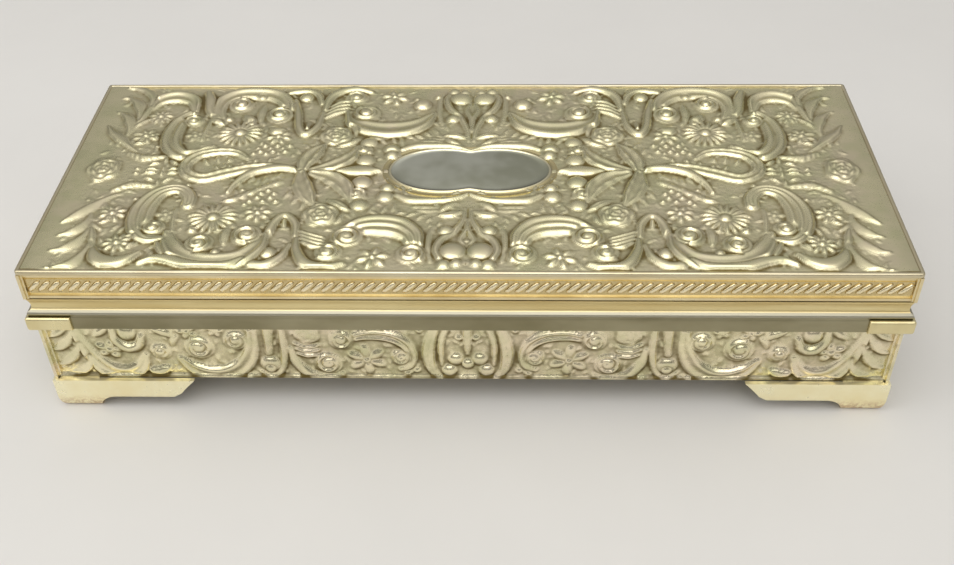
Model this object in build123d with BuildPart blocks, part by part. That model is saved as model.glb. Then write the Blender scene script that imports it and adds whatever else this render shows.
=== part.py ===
"""A long, low vanity trinket box in stamped and plated metal, as an assembly of separate pieces.

Four embossed walls stand on a base pan and four ogee bracket feet. A moulded rim (fascia, bead and
coved neck) runs round their top, with a rounded cap over each of its corners. The lid is an embossed
sheet on a shallow skirt with a rope-twist band, and turns on two knuckle hinges along the back. Velvet
pads line the walls, the floor and the underside of the lid.

Frame: millimetres, +Z up, X along the length, -Y the front, origin on the table under the centre.
An "offset" is measured outwards from the nominal outline, which is box_length by box_depth.
"""

import os

from build123d import *

# ------------------------------------------------------------------ driving dimensions
box_length = 280.0
box_depth = 112.0
sheet = 1.0  # thickness of the stamped walls, skirts and base pan
clearance = 0.3  # between pieces that must not rub

foot_height = 13.0
foot_run_front = 48.0  # how far a foot's bracket runs along the front or back
foot_run_end = 32.0  # and along an end of the box
foot_pad = 14.0  # flat stretch that stands on the table, from the corner
foot_thickness = 1.5
foot_offset = 0.2
foot_arch_height = 5.4
foot_curl_height = 6.0  # how high its face starts to curl inwards to the pad
foot_curl = 2.4  # and how far it curls in
foot_arch_run = 6.0
foot_tip_run = 8.0  # length of the ogee at the bracket's tip
foot_tip_step = 1.6  # height of the tip's little step above the arch
lug_size = 14.0
lug_thickness = 1.4
screw_radius = 1.25
screw_head_radius = 2.3
screw_head_height = 1.1
screw_fit = 0.05

wall_height = 24.0
wall_ground = -2.6
wall_edge_offset = -0.9  # the lip along the foot of a wall
wall_edge_height = 1.0
wall_post_offset = -0.6
post_width = 1.0

fascia_height = 5.2
fascia_offset = 0.6
fascia_groove = 0.2
bead_radius = 1.05
neck_height = 4.4
neck_top_offset = -0.3
neck_hollow = 0.6  # how deep the cove is hollowed
cap_run = 13.0  # how far a corner cap runs from the corner
cap_thickness = 1.1
cap_round = 0.9

skirt_height = 9.9
skirt_ground = -1.4
skirt_edge_offset = -0.6  # the plain strips along the skirt's top and foot
skirt_strip = 1.0
skirt_post_offset = 0.2
rope_rise = 1.9  # from the skirt's foot to the rope band
rope_band_height = 5.6
rope_height = 3.7
rope_backing = 0.35
rope_bulge = 0.8

lip_offset = 0.4
lip_thickness = 1.8
lip_width = 1.6
field_drop = 0.7  # how far the lid's stamped field lies below the top of its lip

relief_height = 1.9
relief_margin = 0.4  # plain ground between the relief and what frames it
pattern_drift = -1.8  # how far the middle of the lid's pattern lies off centre, towards the front
cartouche_length = 56.8
cartouche_width = 26.8
cartouche_lobe_spread = 16.4  # between the middles of its two overlapping lobes
cartouche_drift = -0.6
cartouche_thickness = 0.5
cartouche_rim_width = 1.6
cartouche_rim_height = 0.5

hinge_spacing = 150.0
hinge_width = 26.0
hinge_middle = 9.0  # length of the lid's knuckle
hinge_offset = 0.0
knuckle_radius = 1.5
knuckle_gap = 0.25
pin_radius = 0.7
pin_fit = 0.05
pin_head_radius = 1.1
pin_head_height = 0.5
leaf_thickness = 0.8
case_leaf_height = 3.4
lid_leaf_height = 5.5

lining_thickness = 2.2
lining_drop = 1.0
floor_pad_height = 5.0
lid_pad_height = 2.5
lid_pad_inset = 5.3
pad_round = 1.0

# ------------------------------------------------------------------ levels and faces worked out from them
half_length = box_length / 2
half_depth = box_depth / 2
rim_bottom = foot_height + wall_height
fascia_top = rim_bottom + fascia_height
bead_middle = fascia_top + fascia_groove + bead_radius
neck_bottom = bead_middle + bead_radius
rim_top = neck_bottom + neck_height
skirt_bottom = rim_top + clearance
skirt_top = skirt_bottom + skirt_height
lip_top = skirt_top + lip_thickness
field_top = lip_top - field_drop
wall_inner = wall_ground - sheet
skirt_inner = skirt_ground - sheet
leaf_outer = hinge_offset - pin_radius / 2
leaf_inner = leaf_outer - leaf_thickness
hinge_y = half_depth + hinge_offset
hinge_z = rim_top + clearance / 2
hinge_places = [-hinge_spacing / 2, hinge_spacing / 2]

UP = Vector(0, 0, 1)
SIDES = {
    "front": Vector(0, -1, 0),
    "back": Vector(0, 1, 0),
    "left": Vector(-1, 0, 0),
    "right": Vector(1, 0, 0),
}


def reach(outward):
    """Distance from the centre to the nominal outline of a side."""
    return half_depth if outward.X == 0 else half_length


def half_run(outward):
    """Half the length of a side."""
    return half_length if outward.X == 0 else half_depth


def section_plane(outward):
    """Cross-section of a side: local x is the offset, local y the height."""
    return Plane(origin=outward * reach(outward), x_dir=outward, z_dir=outward.cross(UP))


def elevation_plane(outward, offset):
    """Elevation of a side seen from outside: local x runs to the right, local y is the height."""
    return Plane(origin=outward * (reach(outward) + offset), x_dir=UP.cross(outward), z_dir=outward)


def mitre(outward):
    """Cuts both ends of the strip in the context at 45 degrees, at the nominal corners."""
    along = UP.cross(outward)
    for end in (1, -1):
        corner = outward * reach(outward) + along * (end * half_run(outward))
        split(bisect_by=Plane(origin=corner, z_dir=along * end - outward), keep=Keep.BOTTOM)


def upright_slab(outward, inner, outer, low, high, start=0.0, end=None):
    """Adds a plate between two offsets and two heights, centred or from start to end along the side."""
    left, right = (-half_run(outward) - 2, half_run(outward) + 2) if end is None else (start, end)
    with BuildSketch(elevation_plane(outward, outer)) as plate:
        with Locations(((left + right) / 2, (low + high) / 2)):
            Rectangle(right - left, high - low)
    extrude(plate.sketch, amount=inner - outer)


def end_posts(outward, ground, outer, low, high):
    """Adds the narrow upright at each end of a side, and the lower web that joins it to the ground."""
    edge = half_run(outward) + outer
    web_edge = edge - post_width / 2
    web_foot = half_run(outward) + ground - clearance / 2
    upright_slab(outward, ground, outer, low, high, edge - post_width, edge)
    upright_slab(outward, ground, outer, low, high, -edge, post_width - edge)
    upright_slab(outward, ground - sheet, outer - post_width / 2, low, high, web_foot, web_edge)
    upright_slab(outward, ground - sheet, outer - post_width / 2, low, high, -web_edge, -web_foot)


# ------------------------------------------------------------------ ornament, in simple bold forms
def band(width, *points):
    """A round-ended band that bends through its points, on one arc for every three of them."""
    with BuildLine() as spine:
        for first, middle, last in zip(points[::2], points[1::2], points[2::2]):
            ThreePointArc(first, middle, last)
    trace(spine.line, line_width=width)
    with Locations(points[0], points[-1]):
        Circle(width * 0.56)


def scroll(centre, radius, start, turn, width):
    """A C-scroll: a band bent on an arc, with a round volute at each end."""
    with BuildLine() as spine:
        CenterArc(centre, radius, start, turn)
    trace(spine.line, line_width=width)
    with Locations(spine.line @ 0, spine.line @ 1):
        Circle(width * 0.75)


def leaf(centre, length, width, angle):
    """A leaf: a long lens, turned by an angle."""
    with Locations(Location(centre, angle)):
        Ellipse(length / 2, width / 2)


def flowers(radius, *centres):
    """Round bosses that stand for flowers and volutes."""
    with Locations(*centres):
        Circle(radius)


def two_lobes(growth, mode=Mode.ADD):
    """The cartouche's outline, grown by a margin: two ovals that overlap side by side."""
    lobe_length = cartouche_length - cartouche_lobe_spread
    with Locations(*[(side * cartouche_lobe_spread / 2, cartouche_drift) for side in (-1, 1)]):
        Ellipse(lobe_length / 2 + growth, cartouche_width / 2 + growth, mode=mode)


def lid_ornament(side):
    """The scrolls, leaves and flowers over the right half of the lid's back (side 1) or front (side -1).

    Places are given by the distances from the lid's two middle lines.
    """

    def inner(x, y):
        return (x, side * y + pattern_drift)

    def outer(x, y):
        return (x, side * y)

    # lyre on the cross axis, moulding and balls round the cartouche
    band(2.4, inner(1.8, 26), inner(4.4, 34), inner(8.4, 39.6))
    flowers(2.5, inner(7, 33.2))
    flowers(4.1, outer(4.4, 45.4))
    flowers(2.3, outer(7, 51.2))
    band(2.8, inner(3.8, 15.2), inner(14, 16.8), inner(24.2, 14))
    flowers(2.8, inner(28.4, 14.2), inner(27.6, 9.8), inner(36.3, 18.6))
    flowers(3.7, inner(38, 13.2), inner(36.6, 6.8))

    # arch scroll with its volutes over a blossom, which is fuller at the front
    if side < 0:
        band(9.6, inner(37, 34.4), inner(27, 32), inner(18.4, 41.5))
        flowers(5.3, outer(38.5, 37.2), outer(17.5, 47))
    else:
        band(8, inner(41, 33.6), inner(29, 29), inner(16.6, 36.2))
        flowers(5.2, inner(39.6, 37))
        flowers(3.5, outer(19.3, 40.2))
    flowers(5.3, outer(29, 48.4))

    # rose, and the two bowls with the column between them
    flowers(6.3, inner(48.4, 25))
    leaf(inner(43.4, 19.6), 11, 3.8, -35 * side)
    flowers(4.6, outer(43.8, 46))
    band(4, outer(39, 51), outer(51, 50.4), outer(54.8, 38))
    band(3, inner(55.4, 38), inner(59.8, 25.4), inner(64.4, 38))
    band(3.2, outer(56.6, 43), outer(63, 51.4), outer(71, 48))
    flowers(2.6, outer(62.7, 46))

    # wide U scroll, daisy and small blossoms
    band(7, outer(66, 38), outer(80.5, 49.8), outer(95.5, 38))
    flowers(5.6, outer(70.9, 36.2), outer(85.4, 41.4))
    flowers(8, inner(83.6, 27))
    flowers(4.6, inner(69.3, 24.6), inner(117.4, 24.8))

    # large oval C scroll with its flower and volute
    band(7.4, inner(101, 40), inner(107.6, 26), inner(98.6, 12.8))
    flowers(3.2, inner(94.8, 16.4))
    flowers(3.6, inner(99.4, 25.2), inner(102, 33.4))

    # corner bowl with its blossom, and the leaves that fan out to the end
    flowers(4.8, outer(112, 41))
    band(4.6, outer(103.4, 48.6), outer(112.4, 51.6), outer(119.4, 45))
    band(2.2, outer(124.6, 22), outer(122.4, 33), outer(119.8, 43))
    leaf(outer(128.4, 16.4), 13.4, 5, 43 * side)
    leaf(outer(129.2, 28.8), 11.4, 4.6, 55 * side)
    leaf(outer(129, 41.4), 13, 5.4, 44 * side)
    leaf(outer(127.2, 48.8), 14, 5.2, 40 * side)
    leaf(outer(114.4, 8), 13, 4.4, 12 * side)


def lid_middle_ornament():
    """The forms over the right half of the lid that cross its long axis."""
    with Locations((127, 0)):
        Ellipse(6, 7.6)
    with Locations((106.4, -1.4)):
        Ellipse(5, 4.6)
    band(5, (67, 0.6), (80, -1), (91.6, -5.2), (99, 2.4), (89, 10.4))
    band(4, (57.4, -2.4), (69.4, 0), (80.4, -11))
    leaf((38, -1), 15, 5.2, 0)
    for lean in (-1, 1):
        leaf((49.4, 6.6 * lean - 1.4), 19, 6.4, -43 * lean)


def long_wall_ornament():
    """The scrolls and flowers over the right half of the front or back, centre at mid height."""
    scroll((30, -8), 11, -10, 190, 4)
    scroll((51, -1), 8.5, -150, 120, 4)
    scroll((83, 1.5), 11, 175, 190, 4.5)
    scroll((114, 1.5), 10, 150, 210, 4.5)
    scroll((0, -1), 9, -70, 140, 3)
    leaf((65, -2), 14, 5, 90)
    leaf((131, 5), 12, 5, 60)
    leaf((131, -5), 11, 5, -50)
    leaf((101, 2), 10, 5, 80)
    flowers(4.5, (31, -4), (90, 1), (116, -0.5), (52, 6))
    flowers(3, (77, 8), (69.5, 8), (123, 8), (109, 7), (20, -8))


def end_wall_ornament():
    """The scrolls and flowers over the right half of an end wall, centre at mid height."""
    scroll((14, -6), 9, -10, 190, 4)
    scroll((38, 2), 10, 165, 200, 4.5)
    leaf((26, 3), 13, 5, 90)
    leaf((50, 4), 11, 4.5, 60)
    flowers(4, (0, 3), (15, -3), (39, 1))
    flowers(3, (0, -7), (50, -6))


# ------------------------------------------------------------------ base pan, feet and screws
lug_middle = foot_offset - foot_thickness - lug_size / 2
screw_places = [
    (x * (half_length + lug_middle), y * (half_depth + lug_middle)) for x in (-1, 1) for y in (-1, 1)
]

with BuildPart() as base_pan:
    with BuildSketch(Plane.XY.offset(foot_height)):
        Rectangle(box_length + 2 * wall_inner, box_depth + 2 * wall_inner)
        with Locations(*screw_places):
            Circle(screw_radius + screw_fit, mode=Mode.SUBTRACT)
    extrude(amount=sheet)


def make_bracket(outward, run):
    """The half of the front left foot on one side: a curled strip, cut to the bracket's outline.

    In elevation, from the corner: pad, arch, small step, and the ogee of the tip.
    """
    corner = -half_run(outward) - foot_offset
    direction = 1 if outward.X == 0 else -1
    tip = run - foot_tip_run
    step = foot_arch_height + foot_tip_step
    arch_end = foot_pad + foot_arch_run
    with BuildPart() as bracket:
        with BuildSketch(section_plane(outward)):
            with BuildLine():
                Polyline(
                    (foot_offset, foot_curl_height),
                    (foot_offset, foot_height),
                    (foot_offset - foot_thickness, foot_height),
                    (foot_offset - foot_thickness, foot_curl_height),
                )
                EllipticalCenterArc(
                    (foot_offset - foot_thickness - foot_curl, foot_curl_height),
                    foot_curl,
                    foot_curl_height,
                    start_angle=-90,
                    arc_size=90,
                )
                Line(
                    (foot_offset - foot_thickness - foot_curl, 0),
                    (foot_offset - foot_curl, 0),
                )
                EllipticalCenterArc(
                    (foot_offset - foot_curl, foot_curl_height),
                    foot_curl,
                    foot_curl_height,
                    start_angle=-90,
                    arc_size=90,
                )
            make_face()
        extrude(amount=half_run(outward) + 2, both=True)
        mitre(outward)
        face = Plane(
            origin=outward * (reach(outward) + 2) + UP.cross(outward) * (corner * direction),
            x_dir=UP.cross(outward) * direction,
            z_dir=outward * direction,
        )
        with BuildSketch(face):
            with BuildLine():
                Polyline((foot_pad, 0), (-1, 0), (-1, foot_height), (run, foot_height))
                TangentArc((run, foot_height), (tip + foot_tip_run / 3, step), tangent=(-1, -1))
                Polyline(
                    (tip + foot_tip_run / 3, step), (tip, foot_arch_height), (arch_end, foot_arch_height)
                )
                EllipticalCenterArc(
                    (arch_end, 0), foot_arch_run, foot_arch_height, start_angle=90, arc_size=90
                )
            make_face()
        extrude(amount=lug_size, both=True, mode=Mode.INTERSECT)
    return bracket.part


def make_foot(mirrored_x, mirrored_y):
    """A corner foot: two curled ogee brackets that meet at the corner, and a lug for its screw."""
    with BuildPart() as foot:
        add(make_bracket(SIDES["front"], foot_run_front))
        add(make_bracket(SIDES["left"], foot_run_end))
        with BuildSketch(Plane.XY.offset(foot_height)):
            with Locations((-half_length - lug_middle, -half_depth - lug_middle)):
                Rectangle(lug_size, lug_size)
                Circle(screw_radius + screw_fit, mode=Mode.SUBTRACT)
        extrude(amount=-lug_thickness)
        if mirrored_x:
            mirror(about=Plane.YZ, mode=Mode.REPLACE)
        if mirrored_y:
            mirror(about=Plane.XZ, mode=Mode.REPLACE)
    return foot


feet = {
    "foot_front_left": make_foot(False, False),
    "foot_front_right": make_foot(True, False),
    "foot_back_left": make_foot(False, True),
    "foot_back_right": make_foot(True, True),
}

with BuildPart() as foot_screws:
    head_bottom = foot_height - lug_thickness - screw_head_height
    with BuildSketch(Plane.XY.offset(head_bottom)):
        with Locations(*screw_places):
            Circle(screw_head_radius)
    extrude(amount=screw_head_height)
    with BuildSketch(Plane.XY.offset(head_bottom + screw_head_height)):
        with Locations(*screw_places):
            Circle(screw_radius)
    extrude(amount=lug_thickness + sheet)

# ------------------------------------------------------------------ walls
def make_wall(outward, ornament):
    """A stamped wall: a ground sheet, a lip along its foot, a post at each end, and the relief."""
    with BuildPart() as wall:
        upright_slab(outward, wall_inner, wall_ground, foot_height, rim_bottom)
        edge_top = foot_height + wall_edge_height
        upright_slab(outward, wall_ground, wall_edge_offset, foot_height, edge_top)
        mitre(outward)
        end_posts(outward, wall_ground, wall_post_offset, foot_height, rim_bottom)
        mitre(outward)
        field_length = 2 * (half_run(outward) + wall_post_offset - post_width - relief_margin)
        field_height = wall_height - wall_edge_height - 2 * relief_margin
        ground = elevation_plane(outward, wall_ground)
        ground.origin += UP * (edge_top + relief_margin + field_height / 2)
        with BuildSketch(ground):
            ornament()
            mirror(about=Plane.YZ)
            Rectangle(field_length, field_height, mode=Mode.INTERSECT)
        extrude(amount=relief_height)
    return wall


walls = {
    "wall_" + name: make_wall(outward, long_wall_ornament if outward.X == 0 else end_wall_ornament)
    for name, outward in SIDES.items()
}

# ------------------------------------------------------------------ rim and corner caps
def hinge_knuckle_seats():
    """Clears the hinge barrels out of the part in the context."""
    for x in hinge_places:
        with Locations(Location((x, hinge_y, hinge_z), (0, 90, 0))):
            Cylinder(
                knuckle_radius + clearance,
                hinge_width + 2 * (pin_head_height + clearance),
                mode=Mode.SUBTRACT,
            )


def hinge_leaf_seats(inner, low, high, margin=0.0):
    """Cuts the flat pockets behind the hinge leaves, from an offset outwards."""
    for x in hinge_places:
        with BuildSketch(Plane.XY.offset(low)) as seat:
            with Locations((x, half_depth + inner)):
                Rectangle(hinge_width + 2 * margin, hinge_width, align=(Align.CENTER, Align.MIN))
        extrude(seat.sketch, amount=high - low, mode=Mode.SUBTRACT)


def make_rim(outward):
    """A moulded strip: fascia, groove, bead and coved neck, mitred at the corners."""
    with BuildPart() as rim:
        with BuildSketch(section_plane(outward)):
            with BuildLine():
                Polyline(
                    (neck_top_offset, rim_top),
                    (wall_inner, rim_top),
                    (wall_inner, rim_bottom),
                    (fascia_offset, rim_bottom),
                    (fascia_offset, fascia_top),
                    (fascia_offset - bead_radius, fascia_top),
                    (fascia_offset - bead_radius, bead_middle - bead_radius),
                )
                CenterArc((fascia_offset - bead_radius, bead_middle), bead_radius, -90, 180)
                ThreePointArc(
                    (fascia_offset - bead_radius, neck_bottom),
                    (neck_top_offset - neck_hollow, neck_bottom + neck_height * 0.55),
                    (neck_top_offset, rim_top),
                )
            make_face()
        extrude(amount=half_run(outward) + 2, both=True)
        mitre(outward)
        if outward.Y > 0:
            hinge_knuckle_seats()
            hinge_leaf_seats(leaf_inner, rim_top - case_leaf_height, rim_top)
    return rim


rims = {"rim_" + name: make_rim(outward) for name, outward in SIDES.items()}

with BuildPart() as corner_caps:
    cap_outer = fascia_offset + cap_thickness
    with BuildSketch(Plane.XY.offset(rim_bottom)):
        Rectangle(box_length + 2 * cap_outer, box_depth + 2 * cap_outer)
        Rectangle(box_length + 2 * fascia_offset, box_depth + 2 * fascia_offset, mode=Mode.SUBTRACT)
        Rectangle(box_length - 2 * cap_run, box_depth * 2, mode=Mode.SUBTRACT)
        Rectangle(box_length * 2, box_depth - 2 * cap_run, mode=Mode.SUBTRACT)
    extrude(amount=fascia_height)
    outer_faces = corner_caps.faces().filter_by(
        lambda f: abs(f.center().X) > half_length + fascia_offset + cap_thickness / 2
        and abs(f.normal_at().X) > 0.5
        or abs(f.center().Y) > half_depth + fascia_offset + cap_thickness / 2
        and abs(f.normal_at().Y) > 0.5
    )
    fillet(outer_faces.edges(), cap_round)

# ------------------------------------------------------------------ lid skirts and rope bands
def make_skirt(outward):
    """A side of the lid: a recessed ground between a strip above and below, and a post at each end."""
    with BuildPart() as skirt:
        upright_slab(outward, skirt_inner, skirt_ground, skirt_bottom, skirt_top)
        foot_strip = skirt_bottom + skirt_strip
        upright_slab(outward, skirt_ground, skirt_edge_offset, skirt_bottom, foot_strip)
        upright_slab(outward, skirt_ground, skirt_edge_offset, skirt_top - skirt_strip, skirt_top)
        mitre(outward)
        end_posts(outward, skirt_ground, skirt_post_offset, skirt_bottom, skirt_top)
        mitre(outward)
        if outward.Y > 0:
            leaf_top = skirt_bottom + lid_leaf_height
            hinge_leaf_seats(leaf_inner, skirt_bottom, leaf_top)
            for x in hinge_places:
                seat = (-x - hinge_width / 2, -x + hinge_width / 2)
                upright_slab(outward, skirt_ground, leaf_inner, skirt_bottom, leaf_top, *seat)
            hinge_knuckle_seats()
    return skirt


def make_rope(outward):
    """The rope-twist band of one side: a flat backing with a half-round rope along it."""
    band_bottom = skirt_bottom + rope_rise
    band_top = band_bottom + rope_band_height
    rope_low = (band_bottom + band_top - rope_height) / 2
    face = skirt_ground + rope_backing
    end = half_run(outward) + skirt_ground - clearance
    with BuildPart() as rope:
        with BuildSketch(section_plane(outward)):
            with BuildLine():
                Polyline(
                    (face, rope_low),
                    (face, band_bottom),
                    (skirt_ground, band_bottom),
                    (skirt_ground, band_top),
                    (face, band_top),
                    (face, rope_low + rope_height),
                )
                ThreePointArc(
                    (face, rope_low + rope_height),
                    (face + rope_bulge, rope_low + rope_height / 2),
                    (face, rope_low),
                )
            make_face()
        extrude(amount=end, both=True)
        if outward.Y > 0:
            hinge_leaf_seats(skirt_ground, band_bottom, band_top, clearance)
    return rope


skirts = {"skirt_" + name: make_skirt(outward) for name, outward in SIDES.items()}
ropes = {"rope_" + name: make_rope(outward) for name, outward in SIDES.items()}

# ------------------------------------------------------------------ lid sheet and cartouche
field_inset = lip_width - lip_offset  # from the nominal outline to the foot of the lip's inner face

with BuildPart() as lid_panel:
    with BuildSketch(Plane.XY.offset(skirt_top)):
        Rectangle(box_length + 2 * lip_offset, box_depth + 2 * lip_offset)
    extrude(amount=lip_thickness)
    fillet(lid_panel.edges().filter_by(Axis.Z, reverse=True), lip_width * 0.45)
    with BuildSketch(Plane.XY.offset(field_top)):
        Rectangle(box_length - 2 * field_inset, box_depth - 2 * field_inset)
    extrude(amount=field_drop, mode=Mode.SUBTRACT)
    with BuildSketch(Plane.XY.offset(field_top)):
        for side in (-1, 1):
            lid_ornament(side)
        lid_middle_ornament()
        mirror(about=Plane.YZ)
        margin = field_inset + relief_margin
        Rectangle(box_length - 2 * margin, box_depth - 2 * margin, mode=Mode.INTERSECT)
        two_lobes(clearance, Mode.SUBTRACT)
    extrude(amount=relief_height)


with BuildPart() as cartouche:
    with BuildSketch(Plane.XY.offset(field_top)):
        two_lobes(0)
    extrude(amount=cartouche_thickness)
    with BuildSketch(Plane.XY.offset(field_top + cartouche_thickness)):
        two_lobes(0)
        two_lobes(-cartouche_rim_width, Mode.SUBTRACT)
    extrude(amount=cartouche_rim_height)

# ------------------------------------------------------------------ hinges
own_case = (hinge_width - hinge_middle) / 2 - knuckle_gap


def barrel(x, length, radius, mode):
    """Adds or cuts a cylinder on the hinge axis."""
    with Locations(Location((x, hinge_y, hinge_z), (0, 90, 0))):
        Cylinder(radius, length, mode=mode)


def leaf_plate(x, low, high):
    """Adds a leaf's plate, soldered in the seats of the rim or the skirt."""
    with BuildSketch(Plane.XY.offset(low)) as plate:
        with Locations((x, half_depth + (leaf_inner + leaf_outer) / 2)):
            Rectangle(hinge_width, leaf_thickness)
    extrude(plate.sketch, amount=high - low)


with BuildPart() as hinge_case_leaves:
    for x in hinge_places:
        leaf_plate(x, rim_top - case_leaf_height, hinge_z)
        barrel(x, hinge_middle + 2 * knuckle_gap, knuckle_radius + clearance, Mode.SUBTRACT)
        for side in (-1, 1):
            barrel(x + side * (hinge_width - own_case) / 2, own_case, knuckle_radius, Mode.ADD)
        barrel(x, hinge_width * 1.1, pin_radius + pin_fit, Mode.SUBTRACT)

with BuildPart() as hinge_lid_leaves:
    for x in hinge_places:
        leaf_plate(x, hinge_z, skirt_bottom + lid_leaf_height)
        for side in (-1, 1):
            cut = own_case + 2 * knuckle_gap
            place = x + side * (hinge_width / 2 + knuckle_gap - cut / 2)
            barrel(place, cut, knuckle_radius + clearance, Mode.SUBTRACT)
        barrel(x, hinge_middle, knuckle_radius, Mode.ADD)
        barrel(x, hinge_width, pin_radius + pin_fit, Mode.SUBTRACT)

with BuildPart() as hinge_pins:
    for x in hinge_places:
        barrel(x, hinge_width, pin_radius, Mode.ADD)
        for side in (-1, 1):
            barrel(x + side * (hinge_width + pin_head_height) / 2, pin_head_height, pin_head_radius, Mode.ADD)

# ------------------------------------------------------------------ velvet pads
lining_outer = wall_inner - clearance
lining_inner = lining_outer - lining_thickness
pan_top = foot_height + sheet


def make_lining(outward):
    """The padded lining of one wall; the end linings stand between the long ones."""
    with BuildPart() as lining:
        end = half_run(outward) + (lining_outer if outward.X == 0 else lining_inner - clearance)
        upright_slab(outward, lining_inner, lining_outer, pan_top, rim_top - lining_drop, -end, end)
        top_edges = lining.edges().group_by(Axis.Z)[-1].sort_by(Axis((0, 0, 0), tuple(outward)))
        fillet(top_edges[0], pad_round)
    return lining


linings = {"lining_" + name: make_lining(outward) for name, outward in SIDES.items()}

with BuildPart() as floor_pad:
    pad_inset = lining_inner - clearance
    with BuildSketch(Plane.XY.offset(pan_top)):
        Rectangle(box_length + 2 * pad_inset, box_depth + 2 * pad_inset)
    extrude(amount=floor_pad_height)
    fillet(floor_pad.edges().group_by(Axis.Z)[-1], pad_round)

with BuildPart() as lid_pad:
    with BuildSketch(Plane.XY.offset(skirt_top)):
        Rectangle(box_length - 2 * lid_pad_inset, box_depth - 2 * lid_pad_inset)
    extrude(amount=-lid_pad_height)
    fillet(lid_pad.edges().group_by(Axis.Z)[0], pad_round)

# ------------------------------------------------------------------ write every piece
pieces = {
    "base_pan": base_pan,
    **feet,
    "foot_screws": foot_screws,
    **walls,
    **rims,
    "corner_caps": corner_caps,
    **skirts,
    **ropes,
    "lid_panel": lid_panel,
    "cartouche": cartouche,
    "hinge_case_leaves": hinge_case_leaves,
    "hinge_lid_leaves": hinge_lid_leaves,
    "hinge_pins": hinge_pins,
    **linings,
    "floor_pad": floor_pad,
    "lid_pad": lid_pad,
}

os.makedirs("parts", exist_ok=True)
for name, piece in pieces.items():
    piece.part.label = name
    export_step(piece.part, f"parts/{name}.step")
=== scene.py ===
"""A long, low vanity trinket box in stamped and plated metal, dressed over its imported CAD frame.

Lengths in this script are millimetres until a mesh is written, which is in metres. The stamped lid and
walls are grids whose heights come from strokes: bands, volutes, leaves and flowers drawn over a quarter
of the lid or half of a wall, and mirrored.
"""

import math
import bpy
import numpy as np
from mathutils import Matrix, Vector


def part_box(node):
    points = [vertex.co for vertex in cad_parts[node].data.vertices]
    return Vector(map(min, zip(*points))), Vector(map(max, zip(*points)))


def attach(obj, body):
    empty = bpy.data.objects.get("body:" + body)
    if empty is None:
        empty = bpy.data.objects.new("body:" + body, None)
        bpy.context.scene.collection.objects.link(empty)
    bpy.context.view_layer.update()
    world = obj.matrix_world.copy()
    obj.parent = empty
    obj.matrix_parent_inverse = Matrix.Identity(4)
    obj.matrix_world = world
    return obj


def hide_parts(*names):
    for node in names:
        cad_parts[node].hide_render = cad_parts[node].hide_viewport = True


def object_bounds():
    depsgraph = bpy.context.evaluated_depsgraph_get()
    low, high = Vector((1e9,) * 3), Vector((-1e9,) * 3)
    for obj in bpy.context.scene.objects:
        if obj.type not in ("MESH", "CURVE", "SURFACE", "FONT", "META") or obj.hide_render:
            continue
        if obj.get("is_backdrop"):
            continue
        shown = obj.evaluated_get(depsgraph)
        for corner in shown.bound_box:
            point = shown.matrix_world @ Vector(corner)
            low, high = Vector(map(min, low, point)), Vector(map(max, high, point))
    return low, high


MM = 0.001
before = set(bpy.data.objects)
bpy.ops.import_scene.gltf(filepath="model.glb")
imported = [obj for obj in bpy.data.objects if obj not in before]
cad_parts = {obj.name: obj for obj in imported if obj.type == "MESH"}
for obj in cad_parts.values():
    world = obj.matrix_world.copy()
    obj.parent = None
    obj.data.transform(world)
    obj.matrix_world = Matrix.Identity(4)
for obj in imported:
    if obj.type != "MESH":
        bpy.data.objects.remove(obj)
cad_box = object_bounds()

# ------------------------------------------------------------------ places taken from the frame
LIP_MARGIN = 0.4  # the lid's lip stands this far out from the box's nominal outline
HALF_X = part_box("lid_panel")[1].x / MM - LIP_MARGIN
HALF_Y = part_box("lid_panel")[1].y / MM - LIP_MARGIN
LIP_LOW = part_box("lid_panel")[0].z / MM
LIP_HIGH = LIP_LOW + 1.8
RIM_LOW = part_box("rim_front")[0].z / MM
RIM_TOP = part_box("rim_front")[1].z / MM
WALL_LOW, WALL_HIGH = (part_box("wall_front")[i].z / MM for i in (0, 1))


# ------------------------------------------------------------------ shader building
class Value:
    """A shader value. Python's operators on it add Math nodes."""

    def __init__(self, finish, socket):
        self.finish, self.socket = finish, socket

    def math(self, operation, *others, clamp=False):
        settings = {"operation": operation, "use_clamp": clamp}
        return self.finish.node("Math", settings, dict(enumerate((self,) + others)))

    def __add__(self, other):
        return self.math("ADD", other)

    def __sub__(self, other):
        return self.math("SUBTRACT", other)

    def __mul__(self, other):
        return self.math("MULTIPLY", other)

    def __truediv__(self, other):
        return self.math("DIVIDE", other)

    def __rsub__(self, other):
        return self.finish.node("Math", {"operation": "SUBTRACT"}, {0: other, 1: self})

    __radd__ = __add__
    __rmul__ = __mul__

    def clamped(self):
        return self.math("ADD", 0.0, clamp=True)

    def step(self, low, high):
        """0 below low, 1 above high, smooth between them."""
        settings = {"interpolation_type": "SMOOTHSTEP"}
        return self.finish.node("MapRange", settings, {"Value": self, "From Min": low, "From Max": high})


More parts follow.
